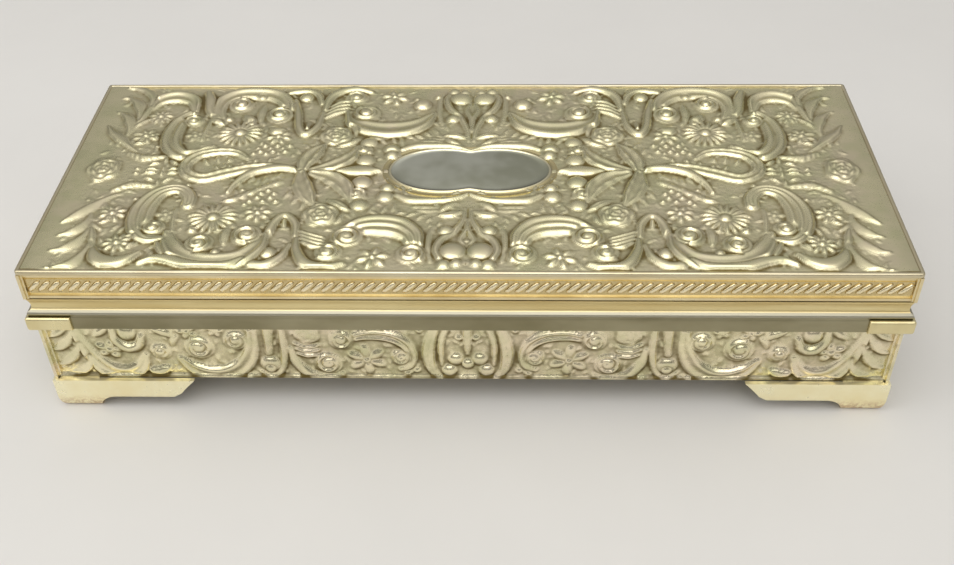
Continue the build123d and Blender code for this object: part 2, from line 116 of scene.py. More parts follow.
class Finish:
    """Builds the nodes of a new material, or of another owner such as the world."""

    def __init__(self, name, owner=None, coordinates="Object"):
        self.owner = owner or bpy.data.materials.new(name)
        self.owner.use_nodes = True
        self.tree = self.owner.node_tree
        self.tree.nodes.clear()
        self.place = self.node("TexCoord", output=coordinates)

    def node(self, kind, settings=None, inputs=None, output=0):
        """Adds a node: its settings first, then a value or a link for each socket named."""
        made = self.tree.nodes.new("ShaderNode" + kind)
        for key, value in (settings or {}).items():
            setattr(made, key, value)
        for key, value in (inputs or {}).items():
            if isinstance(value, Value):
                self.tree.links.new(value.socket, made.inputs[key])
            else:
                made.inputs[key].default_value = value
        return Value(self, made.outputs[output]) if made.outputs else None

    def noise(self, size_mm, detail=3.0, roughness=0.5, stretch=(1, 1, 1)):
        place = self.node("Mapping", None, {"Vector": self.place, "Scale": stretch})
        scale = 1 / (size_mm * MM)
        inputs = {"Vector": place, "Scale": scale, "Detail": detail, "Roughness": roughness}
        return self.node("TexNoise", None, inputs, "Fac")

    def attribute(self, name):
        return self.node("Attribute", {"attribute_name": name}, output="Fac")

    def height(self):
        """The height above the table, in millimetres."""
        return self.node("SeparateXYZ", None, {"Vector": self.place}, "Z") / MM

    def mix(self, factor, first, second):
        settings = {"data_type": "RGBA", "clamp_factor": True}
        return self.node("Mix", settings, {"Factor": factor, 6: first, 7: second}, 2)

    def bump(self, height, distance_mm):
        return self.node("Bump", None, {"Height": height, "Distance": distance_mm * MM})

    def shade(self, **inputs):
        shader = self.node("BsdfPrincipled", None, {k.replace("_", " "): v for k, v in inputs.items()})
        self.node("OutputMaterial", None, {"Surface": shader})
        return self.owner


def rgb(red, green, blue):
    """A colour written as 0 to 255 display values, as the linear colour that shaders take."""
    parts = [c / 255 for c in (red, green, blue)]
    return tuple(p / 12.92 if p <= 0.04045 else ((p + 0.055) / 1.055) ** 2.4 for p in parts) + (1.0,)


def antique_gold(name, crest, rose, roughness):
    """Stamped relief: worn champagne crests, olive tarnish and painted shade in the hollows, a matted
    ground.
    """
    f = Finish(name)
    hollow = f.attribute("hollow")
    patches = f.noise(38, 3, 0.6)
    # The dark olive colour follows the hollow attribute: it is partly tarnish in the hollows and partly
    # painted shade there, under the forms and along edges.
    tarnish_and_shade = (hollow * 1.1 + (f.noise(2.6, 4, 0.65) - 0.5) * 0.55).step(0.10, 0.9)
    worn = f.mix(patches.step(0.42, 0.62), crest, rose)
    tint = f.mix(f.noise(11, 3, 0.6).step(0.35, 0.75), worn, rgb(216, 212, 170))
    colour = f.mix(tarnish_and_shade, tint, rgb(110, 95, 52))
    dust = f.noise(0.5, 2, 0.5)
    rough = roughness + tarnish_and_shade * 0.18 + (patches - 0.5) * 0.12 + (dust - 0.5) * 0.10
    matting = f.attribute("ground") * (f.noise(1.5, 3, 0.6) * 5.0)
    skin = f.noise(0.9, 3, 0.6) * 0.7 + f.noise(0.22, 2, 0.5) * 0.3 + matting
    return f.shade(
        Base_Color=colour,
        Metallic=1.0 - tarnish_and_shade * 0.25,
        Roughness=rough.clamped(),
        Normal=f.bump(skin, 0.045),
    )


def plain_plate(name, bright, dull, roughness, patch_mm=22, low_wear=None, metal=1.0):
    """Smooth plated metal with cloudy patches, faint wiping marks and, low down, worn plating."""
    f = Finish(name)
    cloud = f.noise(patch_mm, 4, 0.6)
    colour = f.mix(cloud.step(0.3, 0.75), bright, dull)
    rough = roughness + (cloud - 0.5) * 0.16 + (f.noise(0.6, 2) - 0.5) * 0.08
    if low_wear:
        speckle = f.noise(1.6, 4, 0.7)
        worn = (1.0 - f.height().step(0.6, 7.0)) * speckle.step(0.38, 0.6)
        colour = f.mix(worn, colour, low_wear)
        rough = rough + worn * 0.22
    marks = f.noise(0.5, 3, 0.6, stretch=(0.08, 0.3, 1)) * 0.6 + f.noise(0.8, 3, 0.6) * 0.4
    return f.shade(
        Base_Color=colour,
        Metallic=metal,
        Roughness=rough.clamped(),
        Normal=f.bump(marks, 0.012),
    )


def rope_plate():
    """The rope twist: bright on its strands, with painted shade in brown gold between them."""
    f = Finish("rope_plate")
    cloud = f.noise(14, 4, 0.6)
    strand = f.mix(cloud.step(0.3, 0.75), rgb(252, 240, 206), rgb(242, 227, 186))
    # Painted shade: the brown gold marks the strip behind the links and the sides of the links that face
    # it.
    between = f.attribute("hollow") * 0.8 + (f.noise(1.2, 3, 0.6) - 0.5) * 0.6
    rough = 0.26 + (f.noise(0.6, 2) - 0.5) * 0.1
    return f.shade(
        Base_Color=f.mix(between, strand, rgb(198, 176, 120)),
        Metallic=1.0,
        Roughness=rough.clamped(),
        Normal=f.bump(f.noise(0.8, 3, 0.6), 0.03),
    )


def cartouche_silver():
    """The bare plate, hazy and grey with a painted reflection, and the gold of the bead and cove round it,
    with painted shade in the cove.
    """
    f = Finish("cartouche_silver")
    plate = f.attribute("plate")
    cloud = f.noise(24, 3, 0.55)
    # The light and dark clouds on the silver are partly hazy plating and partly a painted reflection.
    silver = f.mix(cloud.step(0.35, 0.65), rgb(218, 219, 203), rgb(180, 181, 160))
    # Painted shade: the darker gold lies in the cove round the plate and beyond it.
    gold = f.mix(f.attribute("hollow"), rgb(228, 220, 188), rgb(208, 194, 148))
    rough = 0.22 + (cloud - 0.5) * 0.14 + (f.noise(0.6, 2) - 0.5) * 0.06
    marks = f.noise(0.5, 3, 0.6, stretch=(0.1, 0.5, 1))
    return f.shade(
        Base_Color=f.mix(plate, gold, silver),
        Metallic=1.0,
        Roughness=rough.clamped(),
        Normal=f.bump(marks, 0.008),
    )


def rim_plate():
    """The rim: satin grey fascia darkened as a painted reflection, bright bead, and a warm gold cove above
    it.
    """
    f = Finish("rim_plate")
    level = f.height()
    cloud = f.noise(26, 4, 0.6, stretch=(0.5, 1, 1))
    # The fascia's grey is partly its own plating and partly a painted dark reflection.
    grey = f.mix(cloud.step(0.35, 0.7), rgb(162, 155, 127), rgb(134, 127, 98))
    gold = f.mix(cloud.step(0.3, 0.7), rgb(242, 226, 174), rgb(230, 212, 158))
    streaks = f.noise(2.4, 3, 0.6, stretch=(0.04, 0.3, 1))
    gold = f.mix(streaks.step(0.35, 0.7), gold, rgb(222, 200, 142))
    bead = rgb(172, 167, 148)
    above_fascia = level.step(RIM_TOP - 6.2, RIM_TOP - 5.5)
    above_bead = level.step(RIM_TOP - 4.6, RIM_TOP - 4.3)
    colour = f.mix(above_bead, f.mix(above_fascia, grey, bead), gold)
    rough = 0.30 + above_fascia * 0.10 + (cloud - 0.5) * 0.14
    marks = f.noise(0.5, 3, 0.6, stretch=(0.05, 0.3, 1))
    return f.shade(Base_Color=colour, Metallic=1.0, Roughness=rough.clamped(), Normal=f.bump(marks, 0.012))


def velvet():
    """Short crushed pile: deep wine red, paler where the nap leans, with a soft sheen."""
    f = Finish("velvet")
    nap = f.noise(9, 4, 0.6)
    pile = f.noise(0.45, 2, 0.6)
    colour = f.mix(nap.step(0.35, 0.7), rgb(92, 22, 34), rgb(128, 40, 50))
    colour = f.mix(pile.step(0.35, 0.75) * 0.35, colour, rgb(60, 10, 20))
    bump = f.bump(pile * 0.8 + nap * 0.5, 0.18)
    return f.shade(
        Base_Color=colour, Roughness=0.95 - nap * 0.1, Normal=bump, Sheen_Weight=0.6, Sheen_Roughness=0.4
    )


# ------------------------------------------------------------------ strokes
LINE_STEP = 0.4


def smooth_line(points):
    """A smooth open curve through the points: its samples, their share of its length, and the length."""
    knots = np.array(points, float)
    ends = [2 * knots[0] - knots[1], 2 * knots[-1] - knots[-2]]
    knots = np.vstack([ends[0], knots, ends[1]])
    samples = []
    for a, b, c, d in zip(knots, knots[1:], knots[2:], knots[3:]):
        count = max(3, int(np.linalg.norm(c - b) / LINE_STEP))
        t = np.linspace(0, 1, count, endpoint=False)[:, None]
        bend, twist = 2 * a - 5 * b + 4 * c - d, 3 * b - a - 3 * c + d
        samples.append(0.5 * (2 * b + (c - a) * t + bend * t**2 + twist * t**3))
    samples.append(knots[-2:-1])
    line = np.vstack(samples)
    run = np.concatenate([[0], np.cumsum(np.linalg.norm(np.diff(line, axis=0), axis=1))])
    return line, run / run[-1], run[-1]


def taper(share, *values):
    """A value that runs smoothly through the given ones along a stroke."""
    return np.interp(share, np.linspace(0, 1, len(values)), values)


def rounded(across):
    return np.sqrt(np.clip(1 - across**2, 0, 1))


def twin(across):
    """Two ridges with a hollow between them."""
    edge = np.clip(1 - np.abs(across) ** 5, 0, 1) ** 0.5
    return edge * (0.70 - 0.30 * np.cos(2 * math.pi * across))


def ribbed(across):
    """Three ridges side by side, the left one broadest and highest."""
    edge = np.clip(1 - np.abs(across) ** 5, 0, 1) ** 0.5
    ridges = np.exp(-(((across - 0.62) / 0.26) ** 2)) + 0.86 * np.exp(-(((across - 0.02) / 0.17) ** 2))
    ridges += 0.74 * np.exp(-(((across + 0.58) / 0.2) ** 2))
    return edge * (0.36 + 0.64 * ridges)


def scooped(across):
    """A rolled rim on the left of the stroke, a hollow, and a lower ridge on its right."""
    edge = np.clip(1 - np.abs(across) ** 6, 0, 1) ** 0.5
    rim = np.exp(-(((across - 0.60) / 0.34) ** 2))
    return edge * (0.34 + 0.66 * rim + 0.34 * np.exp(-(((across + 0.55) / 0.26) ** 2)))


def creased(across):
    """A leaf's back: two swelling halves with a sunk midrib."""
    width = np.abs(across)
    swell = 0.58 + 0.42 * np.sin(math.pi * np.clip(width * 1.15, 0, 1))
    return np.clip(1 - width**2.5, 0, 1) ** 0.5 * swell


def cupped(across):
    """A leaf whose swell leans to its left."""
    edge = np.clip(1 - np.abs(across) ** 2.6, 0, 1) ** 0.5
    return edge * (0.62 + 0.38 * across)


class Relief:
    """Heights over a grid of places, raised by strokes. flip mirrors what is drawn in the long axis."""

    def __init__(self, across, up, settle=None):
        self.x, self.y = np.asarray(across, float), np.asarray(up, float)
        self.h = np.zeros((len(self.y), len(self.x)))
        self.flip = 1
        self.settle = settle or (lambda away: 0 * away)

    def at(self, points):
        """Where points of the pattern lie on the sheet."""
        points = np.array(points, float).reshape(-1, 2)
        points[:, 1] = self.flip * points[:, 1] + self.settle(np.abs(points[:, 1]))
        return points

    def window(self, low, high):
        cols = slice(np.searchsorted(self.x, low[0]), np.searchsorted(self.x, high[0], "right"))
        rows = slice(np.searchsorted(self.y, low[1]), np.searchsorted(self.y, high[1], "right"))
        return rows, cols

    def lay(self, spot, raised, distance, moat):
        """Lays a raised form over what is there, which sinks close outside it by the moat's width."""
        under = self.h[spot]
        if moat:
            sink = np.clip(distance / moat, 0, 1)
            under = under * (0.30 + 0.70 * sink * sink * (3 - 2 * sink))
        self.h[spot] = np.where(distance < 0, np.maximum(under, raised), under)

    def stroke(self, points, widths, heights, profile=rounded, flutes=0.0, depth=0.0, moat=0.7):
        """A band along a smooth line. Its half-widths and heights taper. flutes is their spacing."""
        line, share, length = smooth_line(self.at(points))
        reach = max(widths) + moat + 0.3
        spot = self.window(line.min(0) - reach, line.max(0) + reach)
        px, py = np.meshgrid(self.x[spot[1]], self.y[spot[0]])
        if px.size == 0:
            return
        gap = np.stack([px, py], -1)[:, :, None, :] - line
        half_all = taper(share, *widths)
        near = np.argmin((gap**2).sum(-1), axis=2)
        offset = np.take_along_axis(gap, near[:, :, None, None], 2)[:, :, 0]
        tangent = np.gradient(line, axis=0)[near]
        tangent /= np.linalg.norm(tangent, axis=-1, keepdims=True)
        aside = tangent[..., 0] * offset[..., 1] - tangent[..., 1] * offset[..., 0]
        at_end = (near == 0) | (near == len(line) - 1)
        distance = np.where(at_end, np.sqrt((offset**2).sum(-1)), np.abs(aside))
        side = np.sign(aside) * self.flip
        half = half_all[near]
        across = side * distance / half
        along = share[near]
        raised = taper(share, *heights)[near] * profile(np.clip(across, -1, 1))
        if flutes:
            wave = np.cos(2 * math.pi * (along * length / flutes - 0.6 * np.abs(across)))
            raised = raised * (1 - depth * (0.5 + 0.5 * wave) * np.abs(across) ** 0.5)
        self.lay(spot, raised, distance - half, moat)

    def polar(self, centre, radius, moat=0.7):
        """The window round a centre, the distances and the angles in it."""
        centre = self.at(centre)[0]
        spot = self.window(centre - radius - moat, centre + radius + moat)
        px, py = np.meshgrid(self.x[spot[1]] - centre[0], (self.y[spot[0]] - centre[1]) * self.flip)
        return spot, np.hypot(px, py), np.arctan2(py, px)

    def ball(self, centre, radius, height, moat=0.6):
        spot, distance, _ = self.polar(centre, radius, moat)
        raised = height * np.sqrt(np.clip(1 - (distance / radius) ** 2, 0, 1))
        self.lay(spot, raised, distance - radius, moat)

    def volute(self, centre, radius, height, start=0.0, turn=1, pip=0.34):
        """A scroll's curled end: a thick ridge that comes in at start, in degrees, and winds to a pip."""
        spot, distance, angle = self.polar(centre, radius * 1.08, 0.8)
        wound = (turn * (angle - math.radians(start)) / (2 * math.pi)) % 1
        share = distance / radius
        edge = 1.08 - 0.22 * wound
        wave = 0.5 + 0.5 * np.cos(2 * math.pi * ((0.80 - share) / 0.40 - wound))
        heart = np.sqrt(np.clip(1 - (share / pip) ** 2, 0, 1))
        body = 0.20 + 0.80 * np.maximum(wave**1.2 * (1 - 0.2 * wound), heart)
        raised = height * body * np.clip(1 - np.clip(share / edge, 0, 1) ** 6, 0, 1) ** 0.5
        self.lay(spot, raised, distance - edge * radius, 0.8)

    def flower(self, centre, radius, petals, height, turn=0.0, core=0.28, dish=0.3, stretch=1.0):
        """Petals round a button."""
        spot, distance, angle = self.polar(centre, radius * max(1.0, stretch))
        px, py = distance * np.cos(angle), distance * np.sin(angle) / stretch
        distance, angle = np.hypot(px, py), np.arctan2(py, px)
        swing = np.cos(petals * (angle - math.radians(turn)))
        edge = radius * (0.80 + 0.20 * swing)
        share = np.clip(distance / edge, 0, 1)
        petal = 0.12 + 0.88 * np.abs(np.cos(petals * (angle - math.radians(turn)) / 2)) ** 0.9
        raised = height * petal * np.clip(1 - share**4, 0, 1) ** 0.5 * (1 - dish + dish * share)
        self.lay(spot, raised, distance - edge, 0.6)
        self.ball(centre, radius * core, height * 1.05, moat=0.45)

    def rose(self, centre, radius, height, stretch=1.0):
        """A full rose: outer petals, then rings of petals wound round a tight heart."""
        spot, distance, angle = self.polar(centre, radius * max(1.0, stretch))
        px, py = distance * np.cos(angle), distance * np.sin(angle) / stretch
        distance, angle = np.hypot(px, py), np.arctan2(py, px)
        edge = radius * (0.95 + 0.05 * np.cos(5 * angle + 0.6))
        share = np.clip(distance / edge, 0, 1)
        ring = share * 3.1 + 0.10 * np.sin(5 * angle + 9 * share) - angle / (2 * math.pi)
        petals = np.abs(np.cos(math.pi * ring)) ** 0.8 * (0.75 + 0.25 * np.cos(5 * angle + 14 * share))
        raised = height * (0.22 + 0.20 * (1 - share) + 0.58 * petals)
        raised *= np.clip(1 - share**8, 0, 1) ** 0.5
        self.lay(spot, raised, distance - edge, 0.7)

    def flame(self, points, width, height):
        """A curling leaf with a keen bright edge, that thins to a long tail."""
        widths = (0.3, width * 0.8, width, width * 0.5, 0.3)
        self.stroke(points, widths, (height * 0.7, height, height * 0.8, height * 0.55), cupped, moat=0.8)

    def leaf(self, points, width, height, profile=creased, moat=0.6):
        """A leaf from its stalk to its tip."""
        widths = (0.15, width * 0.75, width, width * 0.85, 0.2)
        self.stroke(points, widths, (height * 0.6, height, height * 0.75), profile, moat=moat)

    def beads(self, radius, height, *centres):
        for centre in centres:
            self.ball(centre, radius, height, moat=0.3)

    def flecks(self, height, *marks):
        """Short punched leaves. Each mark is its middle, its direction in degrees and its length."""
        for x, y, turn, length in marks:
            dx, dy = (0.5 * length * f(math.radians(turn)) for f in (math.cos, math.sin))
            line = [(x - dx, y - dy), (x, y), (x + dx, y + dy)]
            self.stroke(line, (0.25, 0.75, 0.3), (height,), moat=0.4)


def chased(relief, count, low, high, length=2.6):
    """Fine leafy tooling that fills the ground between the forms, low enough to vanish under them."""
    chance = np.random.default_rng(7)
    for x, y, turn, long, lift in chance.random((count, 5)):
        x, y = low[0] + x * (high[0] - low[0]), low[1] + y * (high[1] - low[1])
        run = (0.6 + 0.8 * long) * length / 2 * np.array([math.cos(2.6 * turn), math.sin(2.6 * turn)])
        bend = 0.25 * np.array([-run[1], run[0]])
        line = [(x, y) - run, (x, y) + bend, (x, y) + run]
        relief.stroke(line, (0.15, 0.6, 0.2), (0.35 + 0.45 * lift,), moat=0)


def blurred(values, spread):
    reach = max(1, int(spread * 3))
    kernel = np.exp(-0.5 * (np.arange(-reach, reach + 1) / spread) ** 2)
    kernel /= kernel.sum()
    for axis in (0, 1):
        padded = np.pad(values, [(reach, reach) if a == axis else (0, 0) for a in (0, 1)], mode="edge")
        values = np.apply_along_axis(lambda line: np.convolve(line, kernel, "valid"), axis, padded)
    return values


# ------------------------------------------------------------------ the ornament of the lid
def lid_settle(away):
    """How far the stamped pattern lies off its nominal place, by the distance from the long axis."""
    return np.interp(away, (0, 10, 25, 35, 45, 52, 57), (-1.0, -1.5, -2.8, -1.0, 0.5, -0.6, 0.0))


def lid_quarter(r, back):
    """Draws a quarter of the lid's ornament: x from the middle to the end, y to the long edge."""
    # leafy scraps and punched berries that fill the ground
    r.flecks(0.9, (12.5, 26, 60, 3.4), (15.5, 24.5, 50, 3.2), (18.5, 23, 30, 3.4), (22, 22.6, 10, 3),
             (9, 28.4, 70, 3), (24.6, 19.4, 80, 4), (27.6, 20.4, 70, 4), (31.6, 20, 60, 4),
             (55, 18.6, 80, 4.2), (58, 16, 60, 4.2), (61, 13, 60, 4.2), (92, 15.4, 60, 3.4),
             (80.4, 33.4, 20, 3.2), (76.4, 30.8, 60, 3), (90.2, 31.6, -60, 3), (112.4, 33.2, 70, 4),
             (114.6, 31.4, 60, 4), (117.8, 33.6, 80, 4), (121.4, 19, 70, 3.2))
    r.beads(0.9, 1.1, (91.4, 24.2), (111.8, 15.6), (115.5, 1.3), (74.6, 18.2), (95.6, 8.2))
    for i in range(6):
        r.beads(1, 1.2, (64.4 + 2.2 * i, 16.6 - (i % 2) * 2), (65.6 + 2.2 * i, 12.6 - (i % 2) * 1.6))

    # lyre column on the cross axis
    r.stroke([(1, 20), (1.6, 27), (4.4, 34), (8.4, 39.6), (9.6, 45.6), (7.2, 51)],
             (0.5, 0.9, 1.2, 1.4, 1.3, 0.8), (0.9, 1.4, 1.6, 1.7, 1.2))
    r.stroke([(0, 26), (0.3, 33), (2, 38.4), (1.2, 41.6)], (0.5, 1, 0.9, 0.5), (1, 1.3, 1))
    r.ball((7, 33.2), 2.5, 1.8)
    r.ball((4.4, 45.4), 4.2, 2)
    r.ball((7, 51.2), 2.3, 1.6)
    r.ball((3, 50.6), 1.9, 1.4)
    r.stroke([(10.8, 30), (12, 36), (12.2, 44), (11.2, 50)], (0.4, 0.8, 0.8, 0.4), (0.7, 1, 0.8))
    r.leaf([(1.4, 21.6), (5.4, 23.4), (10, 23.6)], 1.7, 1.6)

    # rolled moulding outside the cartouche's cove, and the balls at its end
    r.stroke([(0.2, 12.8), (3.6, 14.8), (8, 16.2), (14, 16.4), (19.6, 16), (24.2, 13.6)],
             (0.7, 1, 1.3, 1.5, 1.7, 1.1), (1.2, 1.5, 1.6, 1.6, 1.3))
    r.leaf([(10, 19.4), (14, 19.7), (18.6, 19.2)], 0.8, 0.9)
    r.leaf([(9.4, 21.2), (13, 21.4), (16.8, 21)], 0.7, 0.8)
    r.leaf([(3.4, 17), (7, 19.4), (9.2, 22)], 1.3, 1.5)
    r.ball((28, 14.2), 2.9, 1.7)
    r.ball((27.6, 9.8), 2.4, 1.9)
    r.volute((38, 13.2), 3.9, 2.1, 200, 1)
    r.ball((36.6, 6.6), 3.5, 1.8)
    r.ball((36.3, 18.6), 3, 1.6)

    # arch scroll over a blossom, close to the cartouche
    r.flower((29.4, 46.6 if back else 48.4), 5.4, 6, 1.7, turn=15, core=0.22)
    if back:
        r.stroke([(38.6, 27.4), (33.4, 23.2), (27, 24.2)], (1.4, 3, 1.2), (1, 1.5, 1), moat=0)
        r.stroke([(45, 36.4), (42.4, 31), (37.4, 28.2), (31, 27), (24, 27.8), (18.4, 30.6), (14.2, 36)],
                 (2, 3.8, 5, 5.6, 5.2, 3.9, 1.4), (1.8, 2.2, 2.5, 2.5, 2.3, 1.6), scooped)
        r.volute((38.8, 36.4), 5.4, 2.5, 60, -1)
        r.ball((18.6, 41.6), 3.3, 2.3)
        r.beads(1.3, 1.5, (20.8, 44.6), (13, 46.6))
    else:
        r.stroke([(38, 33.4), (33.6, 30.8), (28.4, 30.2), (22.6, 31.7), (18.2, 36.4), (16.6, 42)],
                 (3.6, 5.4, 6, 5.8, 4.6, 3), (2, 2.4, 2.5, 2.4, 1.9), ribbed)
        r.volute((38.5, 37.4), 5.3, 2.4, 60, -1)
        r.volute((17.5, 47), 5, 2.4, 130, 1)

    # bowl with shell flutes
    r.volute((43.8, 46), 4.6, 2.2, 40, 1)
    for i in range(4):
        r.stroke([(54.4 - 0.6 * i, 33.6 + 2.3 * i), (50.6 - 0.5 * i, 36.2 + 2.3 * i), (46, 38 + 1.9 * i)],
                 (0.6, 1, 0.7), (1.1, 1.5, 1.2), moat=0.5)
    r.stroke([(38.4, 51), (44.2, 53), (50.2, 51), (53.8, 45.2), (54.8, 37)],
             (1, 2, 2.1, 1.6, 0.7), (1.4, 2.1, 2.1, 1.7, 1.2))

    # rose and its leaves
    r.leaf([(47.6, 15.6), (43.4, 18.4), (39.4, 21.4)], 1.9, 1.6)
    r.leaf([(41.4, 23), (42, 26.4), (43.6, 29)], 1, 1.2)
    r.rose((48.4, 23.6), 6.3, 2.2)

    # column that falls into a bowl on each side
    r.stroke([(55.2, 37), (56.2, 28.8), (59.8, 24.2), (62.8, 28.4), (64.4, 36.6), (66.6, 44)],
             (0.9, 1.3, 1.6, 1.6, 1.5, 1.2), (1.2, 1.7, 2, 1.8, 1.6))
    r.stroke([(59.7, 27.6), (59.6, 31.2)], (0.8, 0.5), (1.9, 1))
    r.stroke([(56.4, 42), (58.2, 48.2), (62.8, 51.6), (68.2, 50.8), (71.4, 48)],
             (0.7, 1.4, 1.8, 1.7, 0.8), (1.2, 1.7, 1.9, 1.7, 1.3))
    r.ball((62.7, 46.4), 2.7, 1.9)

    # wide U scroll with a volute at each end
    if back:
        r.stroke([(68, 35), (69.4, 42), (74.4, 47.4), (81.6, 49.2), (88.8, 48), (93.4, 43.2), (94.2, 37.4),
                  (90.6, 31)],
                 (1.6, 3, 3.9, 4.2, 4, 3.5, 2.7, 1.2), (1.6, 2.3, 2.5, 2.6, 2.5, 2.4, 2.1, 1.4), scooped)
        r.stroke([(100.4, 50.2), (98.8, 44.6), (97.6, 38), (94.6, 33.2)], (1.6, 2.2, 1.7, 0.8),
                 (2, 2.2, 1.8, 1.2))
        r.leaf([(84.6, 35.6), (81.8, 32.8), (79.6, 29.4)], 2.4, 2, rounded)
    else:
        r.stroke([(65.6, 37), (66.8, 43.6), (70.8, 48.4), (77.6, 50.2), (84.6, 49.8), (91, 46.8),
                  (94.8, 41.6), (96.6, 35)],
                 (2, 3.6, 4.2, 4.5, 4.5, 4.4, 3.6, 1.6), (1.5, 2.1, 2.2, 2.3, 2.3, 2.2, 2, 1.4), scooped)
        r.stroke([(99.6, 38), (98.6, 43), (95.4, 48.6)], (0.5, 0.9, 0.5), (1, 1.4, 1))
    r.volute((70.9, 35.4 if back else 36.4), 5.2, 2.5, 100, -1)
    r.volute((86.6, 41.4) if back else (85.6, 41.6), 4.8, 2.5, 80, 1, pip=0.28)
    r.leaf([(77.2, 30.2), (78, 36), (77.6, 42.4)], 1.6, 1.4)
    r.beads(1.6, 1.5, (89.3, 33), (79.4, 46.2))

    # daisy and small blossoms
    r.flower((83.6, 25.2), 8.3, 17, 1.9, turn=8, core=0.27, dish=0.5)
    r.flower((69.3, 22.7), 4.8, 7, 1.5, turn=40)
    r.flower((117.4, 23), 4.9, 8, 1.5, turn=-20)

    # large oval C scroll near the end, with its flower
    r.flower((99.6, 23.6), 3.7, 5, 1.1)
    r.stroke([(96.8, 20.4), (96.4, 27), (95.4, 34.6)], (0.5, 0.8, 0.5), (1, 1.3, 1))
    if back:
        r.stroke([(91.8, 16), (96.2, 10.8), (101.4, 9.4), (106, 14.4), (108, 22), (107.2, 30),
                  (103.6, 36.2)],
                 (1, 2.8, 3.6, 4, 4, 3.6, 1.8), (1.6, 2.5, 2.6, 2.4, 2.3, 2.2), twin)
    else:
        r.stroke([(98.4, 38.4), (103, 38.6), (106, 34.6), (107.6, 28), (107.6, 20.4), (105, 14.2),
                  (100.8, 11.2), (96.6, 11.6), (93.8, 15), (93.4, 18.6)],
                 (1.3, 2.6, 4, 4.6, 4.6, 4, 3, 2.5, 2.6, 2.4),
                 (1.5, 2.1, 2.3, 2.3, 2.3, 2.3, 2.4, 2.3, 2.2, 1.8), ribbed)
    r.volute((102, 31.8), 3.8, 2.2, 20, 1)

    # corner: bowl with a blossom, and feathered leaves that fan out to the end
    if back:
        r.flower((115, 34.6), 4.6, 9, 1.5, turn=10)
        r.flecks(1.2, (120.2, 24.6, 10, 4), (119.6, 21.4, 0, 4.4), (118.8, 18.2, -10, 4),
                 (113.6, 22.6, 60, 3.4))
        r.leaf([(96.4, 33), (93.2, 31.6), (90.4, 29.6)], 1.7, 2, rounded)
        r.leaf([(73.6, 28), (70.6, 26.2), (67.2, 26.8)], 2.6, 2, rounded)
        r.stroke([(103, 38), (105.2, 43.8), (111.6, 46.6), (117.8, 43.8), (120.8, 37.6)],
                 (1.2, 3.2, 4.2, 3.2, 1.2), (1.6, 2.4, 2.6, 2.3, 1.3), scooped)
    else:
        r.flower((112, 41.2), 5, 9, 1.6, turn=10)
        r.flecks(1.2, (107.4, 42.4, 60, 3.6), (117.4, 39.6, -60, 3.4), (109, 37, 20, 3.2),
                 (119, 27.6, 30, 3.6))
        r.stroke([(103.2, 46.6), (106.8, 49.8), (111.8, 51), (116.8, 48.6), (119.6, 42.8)],
                 (0.9, 2.2, 3, 2.4, 0.9), (1.6, 2.4, 2.5, 2.2, 1.3))
        r.stroke([(102.4, 51), (98.2, 49.4), (93, 50), (87.4, 51.8), (80.6, 52.8), (74.4, 51.8),
                  (70.2, 49)],
                 (0.9, 1.8, 2.1, 2, 1.9, 1.7, 0.7), (1.6, 2.4, 2.5, 2.5, 2.4, 2.2, 1.4))
    r.stroke([(124.8, 22.8), (122.8, 30.6), (120.8, 37.6), (119.6, 44)], (0.6, 1.1, 1.3, 0.8),
             (1, 1.4, 1.2))
    r.leaf([(124.4, 27), (121.2, 30.8), (118, 33.8)], 0.9, 1.4)
    r.flame([(132.8, 29), (129.6, 25.2), (125.6, 20.8), (122, 16.4), (118.4, 12.6)], 2.4, 2.3)
    r.flame([(132, 37.2), (129, 36), (126.2, 33), (124.6, 28.4), (124.4, 23.4)], 2.2, 2.2)
    r.flame([(132.4, 46), (128.8, 45.6), (125.6, 42.6), (123.6, 37.8), (123, 32.6)], 2.3, 2.2)
    r.flame([(132, 54), (127.4, 53.8), (123.2, 51.2), (121, 46.2), (120.6, 41)], 2.1, 2.2)

    # feathers and sprays beside the rose at the middle of the end
    r.stroke([(120.6, 11), (115.2, 8.2), (108, 8.6)], (1.2, 2.3, 1.1), (1.2, 1.6, 1.2), rounded,
             flutes=2.2, depth=0.55)
    r.flecks(1.3, (110.4, 1, 0, 3.8), (102.8, 1.2, 0, 3.8), (110.2, 4.6, -20, 3.6), (103.4, 5, 40, 4),
             (106.6, 6.6, 90, 3.2), (106.4, -1.4, 90, 3.2))


